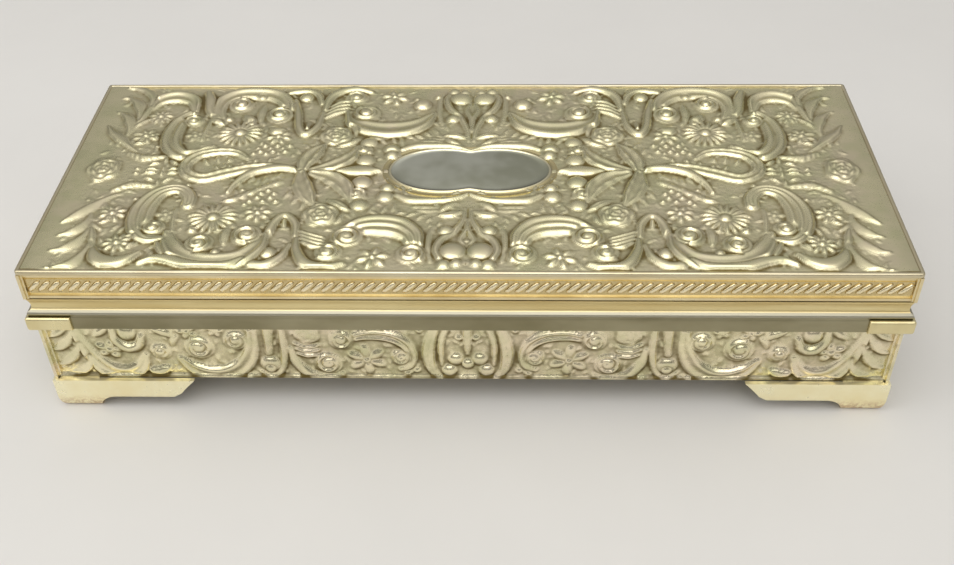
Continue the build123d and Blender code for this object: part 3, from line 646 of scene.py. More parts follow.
def lid_middle(r):
    """Forms that cross the long axis: the end rose, and the curled leaves along the middle."""
    r.rose((127, 0.6), 6.1, 2.1, stretch=1.25)
    # curled leaf, like a comma, whose tail reaches the root at x 57
    r.stroke([(57.6, -1), (66, 1.6), (75, 1.4), (84, -1.6), (91.6, -4.4), (97.4, -1.8), (99, 3.6),
              (95.6, 9.4), (89, 12), (82.4, 11.4), (78, 7.6)],
             (0.9, 2.2, 2.9, 3.1, 3.1, 2.8, 2.6, 2.5, 2.3, 2, 0.9),
             (1.5, 1.8, 1.8, 1.7, 1.7, 1.7, 1.7, 1.8, 1.8, 1.3), twin, flutes=3, depth=0.16)
    r.flecks(1.2, (92.4, 5.6, 60, 3.4), (88.4, 7.2, 80, 3.4), (84.4, 6.8, 100, 3), (88, 2, 60, 3.2),
             (83.6, 2.8, 80, 3), (79.4, 4.4, 90, 2.8), (75, 6.2, 110, 3), (70, 7, 110, 3.2))
    # leaf that arches the other way, with a feathered lower edge
    for i in range(6):
        r.leaf([(63.4 + 2.6 * i, -5.6 - 1.7 * i), (66 + 2.6 * i, -7.4 - 1.7 * i),
                (69.4 + 2.6 * i, -8 - 1.7 * i)], 1.3, 1.6, moat=0.4)
    r.stroke([(57.4, -1.6), (62.6, 1), (69, 0.8), (75, -2), (79.2, -7), (81.6, -12.4)],
             (0.9, 1.6, 2, 1.8, 1.4, 0.6), (1.8, 2.3, 2.3, 2.1, 1.5))
    # drooping leaves at the root: hollow lobes with a turned rim
    for lean in (1, -1):
        for lobe in ([(58, 1), (57, 7), (54.6, 13), (51.4, 18.6)],
                     [(54, 1), (47.6, 3.6), (42.4, 8.6), (39.4, 16.4)]):
            r.stroke([(x, lean * y - 0.6) for x, y in lobe[::lean]], (1.8, 3.7, 3.4, 0.4)[::lean],
                     (1.7, 2.3, 2.2, 1.2)[::lean], scooped, flutes=5, depth=0.2, moat=0.4)
    r.leaf([(46.4, -0.4), (39, -0.4), (30.2, -0.4)], 3, 2.2, rounded)


# ------------------------------------------------------------------ the ornament of the walls
def long_wall_half(r):
    """The front or back wall from its middle to one end; v runs up and down from the wall's mid height."""
    # lyre on the middle
    r.stroke([(10.4, 11), (12.4, 4), (13, -2), (12, -8), (9.4, -12)], (1.4, 2.2, 2.4, 2, 1),
             (1.4, 2, 2.2, 2.1, 1.4), creased)
    r.stroke([(6.2, 11), (8.4, 5), (8.8, -1), (8.6, -6)], (0.7, 1.1, 1, 0.5), (1.2, 1.7, 1.5))
    r.ball((6.2, -8.6), 2.5, 2.1)
    r.ball((4, -3.4), 2.5, 2)
    r.ball((0, -5.6), 2.1, 1.8)
    r.stroke([(0, 10), (0.2, 4), (0.2, -1)], (1.6, 1.2, 0.5), (1.8, 1.6, 1.1))
    r.beads(1.2, 1.4, (2.8, 6.2), (1.6, -11.6), (20.2, -10.2), (15.6, 9.4), (17, -8.6))

    # arch scroll over a starry blossom
    r.flower((33.4, -3.8), 6.8, 6, 1.8, turn=24, core=0.2)
    r.stroke([(40.2, 3.4), (37, 6.4), (31.6, 7.8), (25.4, 7), (20.8, 3.8), (18.6, -1.4), (19.2, -6.2),
              (22.4, -8.2)],
             (1.4, 2, 2.6, 2.7, 2.5, 2.1, 1.7, 0.9), (1.5, 1.9, 2.1, 2.2, 2.1, 1.9, 1.8, 1.4), twin)
    r.volute((22, -2.8), 3.5, 2.3, 60, -1)
    r.volute((41.6, 5), 4.2, 2.3, 100, 1)
    r.volute((46.2, -5.4), 4.9, 2.4, 80, -1)
    r.stroke([(42, -10.6), (47, -12), (53, -10.2), (57.2, -4.8), (58.6, 1.4)],
             (0.9, 1.6, 2, 1.8, 0.8), (1.2, 1.9, 2, 1.6, 1.2))
    for i in range(3):
        r.stroke([(57 - 0.4 * i, 3.4 - 2.2 * i), (53, 2.2 - 2 * i), (49.4, 2.4 - 2 * i)], (0.5, 1, 0.6),
                 (1.2, 1.7, 1.3), moat=0.4)
    r.rose((52.4, 7.4), 4.4, 1.9)

    # pendant drop between two bands
    r.stroke([(60.8, 10), (60.6, 3), (61, -4), (63, -9.8), (66.2, -11.6), (69.4, -9.4)],
             (0.8, 1.3, 1.3, 1.2, 1, 0.6), (1.4, 1.9, 1.9, 1.7, 1.5, 1.1))
    r.stroke([(65, 11), (65.4, 5), (65.8, -1)], (1.9, 1.5, 1.2), (1.6, 1.8, 1.4))
    r.ball((65.8, -6), 3.4, 2.1)
    r.ball((65.8, -7.6), 2, 2.3, moat=0.3)
    r.beads(1.1, 1.4, (57.6, -11.4), (71.6, -11), (73.4, -11.6))

    # wide U scroll with a volute at each end
    r.stroke([(70.6, 8.6), (71.2, 1.4), (74.2, -5.6), (79.4, -9.8), (85.6, -10.6), (91.4, -8.4),
              (95.4, -4)],
             (1.6, 2.4, 3.2, 3.7, 3.7, 3.2, 1.4), (1.6, 2.1, 2.3, 2.4, 2.3, 2.1, 1.4), scooped)
    r.volute((76.2, 4.6), 4.2, 2.3, 150, -1)
    r.volute((88.8, 1.4), 5.2, 2.4, 60, 1)
    r.flower((91.6, 8.6), 3.4, 5, 1.6)
    r.flower((82.4, 8.8), 2.8, 5, 1.4, turn=30)
    r.volute((101.6, -0.6), 3.6, 2.2, 0, 1)
    r.leaf([(108, -8.4), (103.6, -9.6), (99.6, -7.2)], 2.2, 1.9, rounded)
    r.leaf([(96, 5.4), (99, 8), (103.4, 9.8)], 1.7, 1.7)
    r.leaf([(97.6, 1.6), (96.8, 4.4), (94.8, 6.6)], 1.2, 1.4)

    # corner bowl with its blossom, and flame leaves to the end
    r.flower((118.4, 0.4), 5.2, 5, 1.7, turn=30, stretch=0.8)
    r.stroke([(107, 6.4), (108.8, 2.2), (112.6, 1.4), (116, 5), (116.4, 9.6)],
             (0.9, 1.7, 1.9, 1.5, 0.8), (1.5, 2.1, 2.2, 1.8, 1.2))
    r.ball((111.6, 7.6), 3, 1.9)
    r.stroke([(129.4, 10.6), (127.4, 3.6), (124.8, -3), (120.4, -8.8), (114.8, -10.4), (109.8, -7.8),
              (107.2, -2.4)],
             (0.9, 1.9, 2.8, 3.8, 3.9, 3, 1.1), (1.3, 2, 2.2, 2.4, 2.4, 2.2, 1.4), scooped)
    r.leaf([(123, 6), (119.6, 8.6), (117.8, 10.6)], 1.5, 1.7)
    r.flame([(138.2, 5.8), (134.8, 7.6), (131.6, 9.6), (130.2, 11.4)], 1.5, 2)
    r.flame([(138.2, 0.4), (134.8, 1.4), (131.6, 4.6), (129.4, 8.6)], 1.8, 2.1)
    r.flame([(137.8, -6.6), (133.8, -5), (130.2, -1), (128.4, 3.6)], 1.9, 2.1)
    r.flame([(134, -10.8), (129.8, -9.6), (126.8, -6.4), (126, -2)], 1.6, 2.1)


def end_wall_half(r):
    """An end wall from the middle to one corner, in the same family of forms."""
    r.rose((0, 1.6), 4.8, 2.1)
    r.leaf([(0.4, -5), (3.4, -7.4), (7.2, -9.8)], 1.6, 1.6)
    r.leaf([(0.4, 7.4), (4.4, 8.6), (8.2, 10)], 1.4, 1.5)
    r.stroke([(24.6, 7.2), (20.4, 9.8), (13.8, 9), (9, 4), (8.4, -3)],
             (1.3, 2, 2.4, 2.3, 1.1), (1.5, 2.1, 2.1, 1.5), twin)
    r.volute((23.8, 5.4), 3.6, 2.2, 60, -1)
    r.volute((10.2, -4.6), 3.2, 2.1, 120, 1)
    r.flower((17.4, -2.4), 4.8, 6, 1.6, turn=10)
    r.beads(1.3, 1.3, (14.6, -9.6), (20.8, -9.4), (29.4, 9.4))
    r.stroke([(27, 2.6), (28.6, -4.6), (34, -9.8), (40.6, -9.8), (45.6, -5)],
             (1.2, 2.4, 3, 2.6, 1.2), (1.6, 2.2, 2.2, 1.5), scooped)
    r.volute((32, 3.4), 4.2, 2.2, 150, -1)
    r.volute((42, -0.8), 4.2, 2.2, 60, 1)
    r.flower((39.4, 8.2), 3.2, 5, 1.6)
    r.leaf([(46.4, 5.4), (49, 8), (52.4, 9.4)], 1.5, 1.5)
    r.leaf([(47, 0), (49.8, 1.8), (52.8, 0.6)], 1.5, 1.5)
    r.leaf([(45.6, -7), (49, -6.2), (52.4, -9.2)], 1.6, 1.5)


# ------------------------------------------------------------------ meshes
def pick(*pieces):
    """Selects these pieces and nothing else, with the first of them active."""
    bpy.ops.object.select_all(action="DESELECT")
    for piece in pieces:
        piece.select_set(True)
    bpy.context.view_layer.objects.active = pieces[0]


def edit(piece):
    """Opens one piece for editing, with nothing selected in it."""
    pick(piece)
    bpy.ops.object.mode_set(mode="EDIT")
    bpy.ops.mesh.select_mode(type="VERT")
    bpy.ops.mesh.select_all(action="DESELECT")


def leave():
    bpy.ops.object.mode_set(mode="OBJECT")


def face_outwards(piece, weld=False):
    """Turns every face outwards, after joining the vertices that coincide if weld is set."""
    edit(piece)
    bpy.ops.mesh.select_all(action="SELECT")
    if weld:
        bpy.ops.mesh.remove_doubles(threshold=0.00001)
    bpy.ops.mesh.normals_make_consistent(inside=False)
    leave()


def places(piece):
    """The piece's vertices, in millimetres."""
    found = np.empty(len(piece.data.vertices) * 3)
    piece.data.vertices.foreach_get("co", found)
    return found.reshape(-1, 3) / MM


def place(piece, points):
    piece.data.vertices.foreach_set("co", (np.asarray(points) * MM).ravel())
    piece.data.update()


def selected(piece):
    chosen = np.empty(len(piece.data.vertices), bool)
    piece.data.vertices.foreach_get("select", chosen)
    return chosen


def keep_value(piece, name, values):
    layer = piece.data.attributes.new(name, "FLOAT", "POINT")
    layer.data.foreach_set("value", np.asarray(values, np.float32).ravel())


def finished(piece, name, body, nodes, finish, angle=75):
    """Names a piece, shades it smooth below an angle, and says what it stands for."""
    pick(piece)
    bpy.ops.object.shade_smooth_by_angle(angle=math.radians(angle))
    piece.name = piece.data.name = name
    piece.data.materials.clear()
    piece.data.materials.append(finish)
    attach(piece, body)
    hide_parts(*nodes)
    return piece


def grid(columns, rows):
    """A new flat grid, with each vertex's column and row."""
    bpy.ops.object.select_all(action="DESELECT")
    bpy.ops.mesh.primitive_grid_add(x_subdivisions=columns - 1, y_subdivisions=rows - 1, size=2)
    piece = bpy.context.object
    spots = places(piece) * MM
    column = np.rint((spots[:, 0] + 1) / 2 * (columns - 1)).astype(int)
    row = np.rint((spots[:, 1] + 1) / 2 * (rows - 1)).astype(int)
    return piece, column, row


def close_back(piece, backing):
    """Draws the open edge back to where backing puts it, and closes it there with one flat face."""
    edit(piece)
    bpy.ops.mesh.select_non_manifold(extend=False)
    bpy.ops.mesh.extrude_region_move()
    leave()
    points, ring = places(piece), selected(piece)
    points[ring] = backing(points[ring])
    place(piece, points)
    bpy.ops.object.mode_set(mode="EDIT")
    bpy.ops.mesh.edge_face_add()
    leave()
    face_outwards(piece)


def along_side(outward):
    """The direction along a side of the box."""
    return np.array(Vector((0, 0, 1)).cross(outward))


def on_side(outward, run, out, height):
    """Points by a side of the box: run along it, out from the middle, at a height."""
    run, out, height = (part[:, None] for part in np.broadcast_arrays(run, out, height))
    return along_side(outward) * run + np.array(outward) * out + np.array([0, 0, 1]) * height


def hollows(relief, step):
    """How deep each place lies among its surroundings, from 0 to 1."""
    near = np.clip((blurred(relief, 1.0 / step) - relief) / 0.6, 0, 1)
    wide = np.clip((blurred(relief, 3.2 / step) - relief) / 1.3, 0, 1)
    return np.clip(near * 0.75 + wide * 0.7, 0, 1)


def pressed(drawn, step, most):
    """What sheet metal keeps of the drawn forms: rounded edges on soft mounds, no higher than most."""
    total = blurred(drawn, 0.25 / step) * 0.74 + blurred(drawn, 2.0 / step) * 0.13
    return np.where(total < most * 0.8, total, most * (1 - 0.2 * np.exp(-(total / most - 0.8) / 0.2)))


def smooth(values, low, high):
    share = np.clip((values - low) / (high - low), 0, 1)
    return share * share * (3 - 2 * share)


# ------------------------------------------------------------------ the stamped lid
SHEET_IN = 1.25  # from the box's nominal outline to the edge of the stamped sheet
SHEET_EDGE = LIP_HIGH - 0.95
GROUND = LIP_HIGH - 0.68
LID_RELIEF = 1.85
LID_STEP = 0.41
ROLL_IN, ROLL, ROLL_RISE = 2.2, 7.5, 0.62  # the plain rounded swell at each end: place, half width, height
PLATE_Y = -0.6  # how far the cartouche lies off the middle


def two_lobes(turns, growth):
    """Distance from the cartouche's centre to its outline, which is two ovals side by side."""
    spread, length, width = 9.4, 17.6 + growth, 11.9 + growth
    c, s = np.sqrt(np.cos(turns) ** 2 + 0.008), np.sin(turns)
    a = (c / length) ** 2 + (s / width) ** 2
    b = c * spread / length**2
    return (b + np.sqrt(b * b - a * ((spread / length) ** 2 - 1))) / a


def lid_sheet(sign):
    """One half of the lid's stamped sheet: the left with sign -1, the right with 1."""
    half_x, half_y = HALF_X - SHEET_IN, HALF_Y - SHEET_IN
    across = np.linspace(0, half_x, int(half_x / LID_STEP))
    up = np.linspace(-half_y, half_y, 2 * int(half_y / LID_STEP) + 1)
    relief = Relief(across, up, lid_settle)
    chased(relief, 620, (0, -54), (131, 54))
    for flip in (1, -1):
        relief.flip = flip
        lid_quarter(relief, back=flip > 0)
    relief.flip = 1
    lid_middle(relief)
    drawn = pressed(relief.h, LID_STEP, LID_RELIEF)
    x, y = np.meshgrid(across, up)
    end, side = half_x - x, half_y - np.abs(y)
    level = SHEET_EDGE + (GROUND - SHEET_EDGE) * smooth(side, 0.0, 2.0)
    roll = ROLL_RISE * np.clip(1 - ((end - ROLL_IN) / ROLL) ** 2, 0, 1) ** 1.5
    level = np.maximum(level, GROUND + roll)
    drawn = drawn * smooth(end, 1.5, 6.5) * smooth(side, 0.2, 1.2)
    under_plate = np.hypot(x, y - PLATE_Y) < two_lobes(np.arctan2(y - PLATE_Y, x), 0.4)
    level = np.where(under_plate, GROUND - 0.4, level + drawn)
    # Painted shade: the hollows get tarnish and painted shade, and the last millimetre by each long edge
    # gets a painted shadow of the groove inside the lip.
    sunk = hollows(drawn, LID_STEP) + (1 - smooth(side, 0.0, 1.0)) * 0.35
    piece, column, row = grid(len(across), len(up))
    points = np.stack([sign * x[row, column], y[row, column], level[row, column]], -1)
    place(piece, points)
    keep_value(piece, "hollow", np.clip(sunk, 0, 1)[row, column])
    keep_value(piece, "ground", ((1 - smooth(drawn, 0.15, 0.6)) * smooth(end, 6, 10))[row, column])
    close_back(piece, lambda ring: np.column_stack([ring[:, :2], np.full(len(ring), LIP_LOW + 0.35)]))
    name = "lid_stamping_left" if sign < 0 else "lid_stamping_right"
    return finished(piece, name, "lid", ["lid_panel"], ANTIQUE)


LIP_SECTION = [
    (-5.3, 0.0), (-0.2, 0.0), (0.18, 0.12), (0.4, 0.5), (0.4, 1.2), (0.24, 1.6), (-0.1, 1.8), (-0.7, 1.8),
    (-1.0, 1.64), (-1.12, 1.35), (-1.18, 0.8), (-1.4, 0.55), (-5.3, 0.55),
]  # fmt: skip
LIP_CORNER = 0.9  # corner radius of the nominal outline
LIP_STEPS = (70, 28)  # points along a long side and along an end


def lid_lip():
    """The lid's turned lip, all the way round, with rounded corners and slight dents."""
    run = []
    corners = [(1, 1), (-1, 1), (-1, -1), (1, -1)]
    turns = np.linspace(0, math.pi / 2, 5)
    for quarter, (cx, cy) in enumerate(corners):
        for turn in turns + quarter * math.pi / 2:
            run.append((cx, cy, math.cos(turn), math.sin(turn)))
        next_x, next_y = corners[(quarter + 1) % 4]
        facing = (quarter + 1) * math.pi / 2
        for share in np.linspace(0, 1, LIP_STEPS[quarter % 2])[1:-1]:
            x, y = cx + (next_x - cx) * share, cy + (next_y - cy) * share
            run.append((x, y, math.cos(facing), math.sin(facing)))
    run = np.array(run)
    piece, column, row = grid(len(run) + 1, len(LIP_SECTION) + 1)
    offset, rise = (np.array([p[i] for p in LIP_SECTION])[row % len(LIP_SECTION)] for i in (0, 1))
    at = run[column % len(run)]
    radius = np.maximum(LIP_CORNER + offset, 0.06)
    x = at[:, 0] * (HALF_X + offset - radius) + radius * at[:, 2]
    y = at[:, 1] * (HALF_Y + offset - radius) + radius * at[:, 3]
    wave = np.sin(x * 0.11 + y * 0.07) * 0.5 + np.sin(x * 0.31 + 1.3) * 0.3 + np.sin(x * 0.83) * 0.2
    dent = 0.06 * (0.5 + 0.5 * wave)
    x, y, height = x - at[:, 2] * dent, y - at[:, 3] * dent, LIP_LOW + rise - dent * 0.5
    place(piece, np.stack([x, y, height], -1))
    face_outwards(piece, weld=True)
    return finished(piece, "lid_lip", "lid", ["lid_panel"], BRIGHT, 40)


def cartouche_plate():
    """A bare, slightly domed plate with a fine bright edge, inside a cove."""
    profile = [
        (0.1, 0.0), (0.25, 0.14), (0.45, 0.32), (0.7, 0.38), (0.95, 0.28), (1.15, 0.06),
        (1.5, -0.14), (2.1, -0.2), (2.6, -0.14), (3.0, 0.1), (3.3, 0.06), (3.4, -0.5),
    ]  # fmt: skip
    inner = 10
    columns, rows = 257, inner + len(profile)
    piece, column, row = grid(columns, rows)
    turns = column / (columns - 1) * 2 * math.pi
    share = np.clip(row / inner, 0, 1)
    steps = np.clip(row - inner, 0, len(profile) - 1)
    growth = np.array([p[0] for p in profile])[steps]
    rise = np.array([p[1] for p in profile])[steps]
    distance = two_lobes(turns, growth) * share
    dome = 0.4 * (1 - share**2)
    level = GROUND + 0.3 + np.where(row < inner, dome, rise)
    place(piece, np.stack([distance * np.cos(turns), distance * np.sin(turns) + PLATE_Y, level], -1))
    face_outwards(piece, weld=True)
    spots = places(piece)
    spots[:, 1] -= PLATE_Y
    away = np.hypot(spots[:, 0], spots[:, 1]) - two_lobes(np.arctan2(spots[:, 1], spots[:, 0]), 0)
    keep_value(piece, "plate", 1 - smooth(away, 0.1, 0.4))
    # Painted shade in the cove round the plate, from 0.9 mm outside its edge.
    keep_value(piece, "hollow", smooth(away, 0.9, 1.5))
    close_back(piece, lambda ring: ring - np.array([0, 0, 0.2]))
    return finished(piece, "cartouche_plate", "lid", ["cartouche"], SILVER, 60)


# ------------------------------------------------------------------ the stamped walls
WALL_STEP = 0.42
WALL_RELIEF = 1.88
WALL_GROUND = -2.6  # from the box's nominal outline to the flat ground
WALL_POST, POST_WIDTH = -0.6, 1.0  # to the plain post at each end, and the post's width
WALL_BACK = -3.6  # and to the back of the sheet
WALL_FOOT, WALL_FOOT_RISE = 0.9, 1.2  # the roll along its foot: how far it swells, and its height


def stamped_wall(name, outward, half_run, reach, ornament):
    """A wall in one sheet, with the ornament of one half mirrored in the other."""
    edge = half_run + WALL_POST
    inner_edge = edge - POST_WIDTH
    field = np.linspace(0, inner_edge - 0.25, int(inner_edge / WALL_STEP))
    across = np.concatenate([field, [inner_edge - 0.05, inner_edge, edge]])
    up = np.linspace(WALL_LOW, WALL_HIGH, int((WALL_HIGH - WALL_LOW) / WALL_STEP))
    relief = Relief(across, up - (WALL_LOW + WALL_HIGH) / 2)
    chased(relief, int(half_run * 1.2), (0, -11), (half_run - 3, 12), 2.2)
    ornament(relief)
    drawn = pressed(relief.h, WALL_STEP, WALL_RELIEF)
    x, z = np.meshgrid(across, up)
    rise = z - WALL_LOW
    # Painted light: relief faces turned downwards get painted shade and faces turned upwards are left
    # lighter, on top of tarnish and painted shade in the hollows.
    slope = np.clip(np.gradient(blurred(drawn, 1.0), axis=0) / WALL_STEP, -0.8, 0.8)
    sunk = 0.18 + 0.6 * hollows(drawn, WALL_STEP) + 0.7 * slope
    # Painted shade along the foot of the wall.
    sunk = sunk + 0.15 * (1 - smooth(rise, 0.8, 1.8))
    drawn = drawn * smooth(inner_edge - x, 0.1, 0.9) * smooth(rise, 0.8, 2.2)
    foot = WALL_FOOT * np.clip(1 - (rise / WALL_FOOT_RISE) ** 2, 0, 1) ** 0.5
    offset = WALL_GROUND + np.maximum(drawn, foot)
    offset = np.where(x > inner_edge - 0.02, WALL_POST, offset)
    bare = 1 - smooth(drawn, 0.15, 0.75)
    x = np.concatenate([-x[:, :0:-1], x], 1)
    offset, z, sunk, bare = (np.concatenate([v[:, :0:-1], v], 1) for v in (offset, z, sunk, bare))
    piece, column, row = grid(x.shape[1], x.shape[0])
    place(piece, on_side(outward, x[row, column], reach + offset[row, column], z[row, column]))
    keep_value(piece, "hollow", np.clip(sunk, 0, 1)[row, column])
    keep_value(piece, "ground", bare[row, column])

    def backing(ring):
        run = np.clip(ring @ along_side(outward), -(half_run + WALL_BACK), half_run + WALL_BACK)
        return on_side(outward, run, reach + WALL_BACK, ring[:, 2])

    close_back(piece, backing)
    return finished(piece, "stamping_" + name, "case", ["wall_" + name], WORN)


# ------------------------------------------------------------------ the rope twist round the lid
ROPE_MIDDLE = (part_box("rope_front")[0].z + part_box("rope_front")[1].z) / 2 / MM
ROPE_PITCH = 3.2
ROPE_END = 1.7  # from a corner of the nominal outline to the end of the rope
STRIP_WIDTH = 5.6
STRIP_FACE, STRIP_BACK = -1.05, -1.4  # from the box's nominal outline


def rope_link():
    """One link of the twist: a slim pip, slanted, with its two tips drawn out along the band."""
    bpy.ops.mesh.primitive_uv_sphere_add(segments=8, ring_count=6, radius=1, rotation=(0, math.pi / 2, 0))
    bpy.ops.object.transform_apply(location=False, rotation=True, scale=False)
    link = bpy.context.object
    points = places(link) * MM
    run, thick, rise = points[:, 0], points[:, 1], points[:, 2]
    u = run * 2.4
    height = np.tanh(run * 1.5) / math.tanh(1.5) * 1.55 + rise * 1.3
    place(link, np.stack([u, thick * 0.78, height], -1))
    return link


def rope_band(name, outward, runs, reach, link):
    """Copies the link along a side of the lid, over the flat strips that it is soldered to."""
    parts = []
    for low, high in runs:
        bpy.ops.mesh.primitive_cube_add(size=1)
        strip = bpy.context.object
        spots = places(strip) * MM
        run = np.where(spots[:, 0] > 0, high, low)
        out = reach + np.where(spots[:, 1] > 0, STRIP_FACE, STRIP_BACK)
        place(strip, on_side(outward, run, out, ROPE_MIDDLE + spots[:, 2] * STRIP_WIDTH))
        # The strip behind the links is all in painted shade.
        keep_value(strip, "hollow", np.ones(len(spots)))
        parts.append(strip)
        count = int((high - low - 1.4) / ROPE_PITCH)
        for i in range(count):
            copy = link.copy()
            copy.data = link.data.copy()
            bpy.context.collection.objects.link(copy)
            spots = places(copy)
            # Painted shade on each link: full on the half towards the strip, fading out by 0.5 mm in front
            # of its middle.
            keep_value(copy, "hollow", np.clip(1 + spots[:, 1] / 0.5, 0, 1))
            run = (low + high) / 2 + (i - (count - 1) / 2) * ROPE_PITCH + spots[:, 0]
            out = reach + STRIP_FACE + 0.05 - spots[:, 1]
            place(copy, on_side(outward, run, out, ROPE_MIDDLE + spots[:, 2]))
            parts.append(copy)
    pick(*parts)
    bpy.ops.object.join()
    rope = bpy.context.object
    face_outwards(rope)
    return finished(rope, "rope_twist_" + name, "lid", ["rope_" + name], TWIST, 60)


# ------------------------------------------------------------------ the rim's moulding
RIM_SECTION = [
    (-3.6, 0.0), (0.42, 0.0), (0.58, 0.14), (0.6, 0.5), (0.58, 2.4), (0.6, 4.3), (0.5, 4.75),
    (0.34, 5.05), (0.3, 5.3), (0.34, 5.55), (0.46, 5.85), (0.58, 6.2), (0.6, 6.5), (0.5, 6.8),
    (0.24, 7.05), (-0.1, 7.25), (-0.46, 7.45), (-0.72, 7.7), (-0.88, 8.3), (-0.92, 9.1),
    (-0.84, 10.0), (-0.62, 10.9), (-0.36, 11.55), (-0.3, 11.9), (-3.6, 11.9),
]  # fmt: skip


def rim_moulding(name, outward, half_run, reach):
    """A side of the rim in one smooth run: fascia, cove, bead and neck, mitred at the corners."""
    piece, column, row = grid(61, len(RIM_SECTION) + 1)
    offset, rise = (np.array([p[i] for p in RIM_SECTION])[row % len(RIM_SECTION)] for i in (0, 1))
    run = (column / 30 - 1) * (half_run + offset)
    # the fascia isn't quite flat along its run
    fascia = (offset > -3) & (rise > 0.3) & (rise < 4.5)
    sway = 0.05 * np.sin(run * 0.045 + 1) * np.clip((rise - 0.5) * (4 - rise), 0, 1) - 0.05
    offset = np.where(fascia, offset + sway, offset)
    place(piece, on_side(outward, run, reach + offset, RIM_LOW + rise))
    face_outwards(piece, weld=True)
    edit(piece)
    bpy.ops.mesh.select_non_manifold()
    bpy.ops.mesh.edge_face_add()
    leave()
    face_outwards(piece)
    return finished(piece, "rim_moulding_" + name, "case", ["rim_" + name], RIM, 50)


# ------------------------------------------------------------------ velvet pads
def slab(low, high, step):
    """A closed flat box between two corners, evenly meshed on its two large faces."""
    size = high - low
    thin = int(np.argmin(size))
    wide = [axis for axis in range(3) if axis != thin]
    counts = [max(6, int(size[axis] / step)) for axis in wide]
    piece, *steps = grid(*counts)
    points = np.tile((low + high) / 2, (len(steps[0]), 1))
    for axis, count, place_on in zip(wide, counts, steps):
        points[:, axis] = low[axis] + size[axis] * place_on / (count - 1)
    place(piece, points)
    thick = piece.modifiers.new("thick", "SOLIDIFY")
    thick.thickness, thick.offset = size[thin] * MM, 0
    bpy.ops.object.modifier_apply(modifier=thick.name)
    face_outwards(piece)
    return piece


PAD_STEP = 2.4
PAD_SWELL = 1.6
PAD_INSET, PAD_THIN_INSET = 0.35, 0.3  # how much smaller than its box a pad starts, at its sides and faces


def velvet_pad(node, swell):
    """A pad with soft edges, that swells from its board by up to swell."""
    low, high = (np.array(c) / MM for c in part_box(node))
    inset = np.full(3, PAD_INSET)
    inset[int(np.argmin(high - low))] = PAD_THIN_INSET
    pad = slab(low + inset, high - inset, PAD_STEP)
    before = places(pad)
    if swell:
        cloth = pad.modifiers.new("stuffing", "CLOTH")
        cloth.settings.use_pressure = True
        cloth.settings.uniform_pressure_force = 4
        cloth.settings.effector_weights.gravity = 0
        cloth.settings.quality = 4
        for moment in range(1, 13):
            bpy.context.scene.frame_set(moment)
        bpy.ops.object.modifier_apply(modifier=cloth.name)
        bpy.context.scene.frame_set(1)
        moved = places(pad) - before
        far = np.linalg.norm(moved, axis=1, keepdims=True)
        before = before + moved * np.minimum(1, swell / np.maximum(far, 1e-6))
    place(pad, np.clip(before, low + 0.02, high - 0.02))
    smoothing = pad.modifiers.new("soft", "SUBSURF")
    smoothing.levels = smoothing.render_levels = 1
    bpy.ops.object.modifier_apply(modifier=smoothing.name)
    body = "lid" if node == "lid_pad" else "case"
    finished(pad, "velvet_" + node, body, [node], VELVET, 180)
    return pad


# ------------------------------------------------------------------ finishes
ANTIQUE = antique_gold("antique_gold", rgb(234, 225, 186), rgb(230, 218, 186), 0.29)
WORN = antique_gold("worn_gold", rgb(248, 238, 200), rgb(243, 229, 200), 0.24)
BRIGHT = plain_plate("bright_lip", rgb(220, 210, 180), rgb(204, 191, 156), 0.32, 30)
PALE = plain_plate(
    "pale_gold", rgb(255, 248, 212), rgb(248, 236, 190), 0.3, 16, low_wear=rgb(206, 178, 142), metal=0.75
)
ROPE = plain_plate("rope_gold", rgb(236, 222, 182), rgb(220, 203, 158), 0.3, 14)
TWIST = rope_plate()
CAP = plain_plate("cap_gold", rgb(236, 224, 178), rgb(222, 208, 160), 0.3, 12)
SILVER = cartouche_silver()
INNER = plain_plate("inner_metal", rgb(196, 186, 150), rgb(166, 154, 118), 0.36, 25)
STEEL = plain_plate("steel", rgb(178, 176, 168), rgb(150, 147, 138), 0.3, 12)
RIM = rim_plate()
VELVET = velvet()

NODE_FINISHES = {
    "base_pan": INNER,
    "foot_": PALE,
    "foot_screws": STEEL,
    "rim_": RIM,
    "corner_caps": CAP,
    "skirt_": ROPE,
    "hinge_case_leaves": PALE,
    "hinge_lid_leaves": PALE,
    "hinge_pins": STEEL,
}
for node_name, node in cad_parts.items():
    matches = [key for key in NODE_FINISHES if node_name.startswith(key)]
    if matches:
        for material_slot in node.material_slots:
            material_slot.material = NODE_FINISHES[max(matches, key=len)]

# ------------------------------------------------------------------ the pieces
lid_sheet(-1)
lid_sheet(1)
lid_lip()
cartouche_plate()

HINGE_X, HINGE_GAP = 75, 13.6  # the middle of a hinge, and half the gap that the rope leaves for it
SIDES = {
    "front": (Vector((0, -1, 0)), HALF_X, HALF_Y, long_wall_half),
    "back": (Vector((0, 1, 0)), HALF_X, HALF_Y, long_wall_half),
    "left": (Vector((-1, 0, 0)), HALF_Y, HALF_X, end_wall_half),
    "right": (Vector((1, 0, 0)), HALF_Y, HALF_X, end_wall_half),
}
link = rope_link()
for side, (outward, half_run, reach, ornament) in SIDES.items():
    stamped_wall(side, outward, half_run, reach, ornament)
    end = half_run - ROPE_END
    runs = [(-end, end)]
    if side == "back":
        near, far = HINGE_X - HINGE_GAP, HINGE_X + HINGE_GAP
        runs = [(-end, -far), (-near, near), (far, end)]
    rope_band(side, outward, runs, reach, link)
    if side != "back":
        rim_moulding(side, outward, half_run, reach)
bpy.data.objects.remove(link)

velvet_pad("floor_pad", PAD_SWELL)
velvet_pad("lid_pad", PAD_SWELL)
for side in SIDES:
    velvet_pad("lining_" + side, 0)

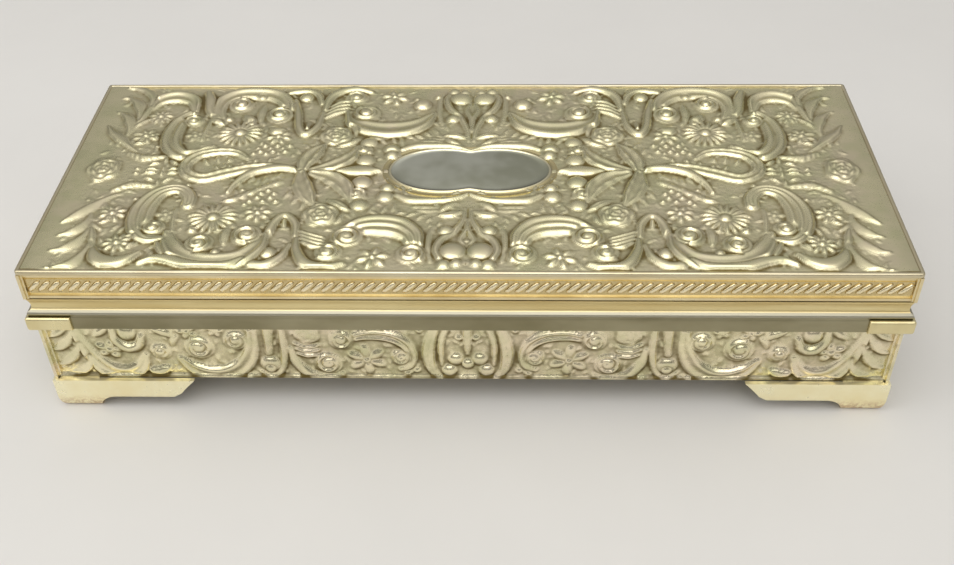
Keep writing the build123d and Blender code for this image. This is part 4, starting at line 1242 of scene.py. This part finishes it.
# ------------------------------------------------------------------ floor, light and camera
def floor():
    """A plain pale floor that runs far past the view."""
    bpy.ops.mesh.primitive_plane_add(size=40)
    ground = bpy.context.object
    ground.name = "floor"
    f = Finish("floor")
    cloud = f.noise(90, 4, 0.6)
    ground.data.materials.append(
        f.shade(Base_Color=f.mix(cloud, rgb(214, 212, 208), rgb(222, 220, 216)), Roughness=0.7)
    )
    ground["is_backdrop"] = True


def area_lamp(name, size, strength, spot, aim):
    lamp = bpy.data.lights.new(name, "AREA")
    lamp.shape = "RECTANGLE"
    lamp.size, lamp.size_y = size
    lamp.energy = strength
    holder = bpy.data.objects.new(name, lamp)
    bpy.context.collection.objects.link(holder)
    holder.location = spot
    holder.rotation_euler = (Vector(aim) - Vector(spot)).to_track_quat("-Z", "Y").to_euler()


def sky():
    """A soft room: bright overhead, darker low down, with a high window in front of the box."""
    world = bpy.data.worlds.new("room")
    bpy.context.scene.world = world
    f = Finish("room", world, "Generated")
    up = f.node("SeparateXYZ", None, {"Vector": f.place}, "Z")
    ahead = f.node("SeparateXYZ", None, {"Vector": f.place}, "Y")
    window = (0.0 - ahead).step(0.1, 0.5) * up.step(0.38, 0.8)
    level = up.step(-0.1, 0.45) * 0.30 + up.step(0.55, 0.98) * 0.45 + window * 0.85 + 0.10
    shade = f.node("Background", None, {"Color": (1.0, 0.985, 0.96, 1), "Strength": level})
    f.node("OutputWorld", None, {"Surface": shade})


def camera():
    """Looks down at the front, a little from the right of the middle."""
    pitch, yaw, roll = (math.radians(a) for a in (40.39, -1.893, -1.035))
    ahead = Vector((math.sin(yaw) * math.cos(pitch), math.cos(yaw) * math.cos(pitch), -math.sin(pitch)))
    level = Vector((math.cos(yaw), -math.sin(yaw), 0))
    upward = level.cross(ahead)
    right = math.cos(roll) * level + math.sin(roll) * upward
    top = math.cos(roll) * upward - math.sin(roll) * level
    lens = bpy.data.cameras.new("camera")
    lens.lens = 43.08
    holder = bpy.data.objects.new("camera", lens)
    bpy.context.collection.objects.link(holder)
    turn = Matrix((right, top, -ahead)).transposed().to_4x4()
    holder.matrix_world = Matrix.Translation(Vector((12.46, -324.8, 285.65)) * MM) @ turn
    bpy.context.scene.camera = holder


floor()
sky()
BOX_MIDDLE = (0, 0, 0.03)
area_lamp("overhead", (1.0, 0.8), 3.3, (-0.1, -0.30, 1.0), BOX_MIDDLE)
area_lamp("front", (1.5, 0.28), 1.3, (0.05, -1.05, 0.78), BOX_MIDDLE)
area_lamp("side", (0.5, 0.7), 1.6, (-0.9, -0.3, 0.6), BOX_MIDDLE)
camera()
bpy.context.scene.view_settings.view_transform = "Standard"

[[list(corner) for corner in box] for box in (cad_box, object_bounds())]
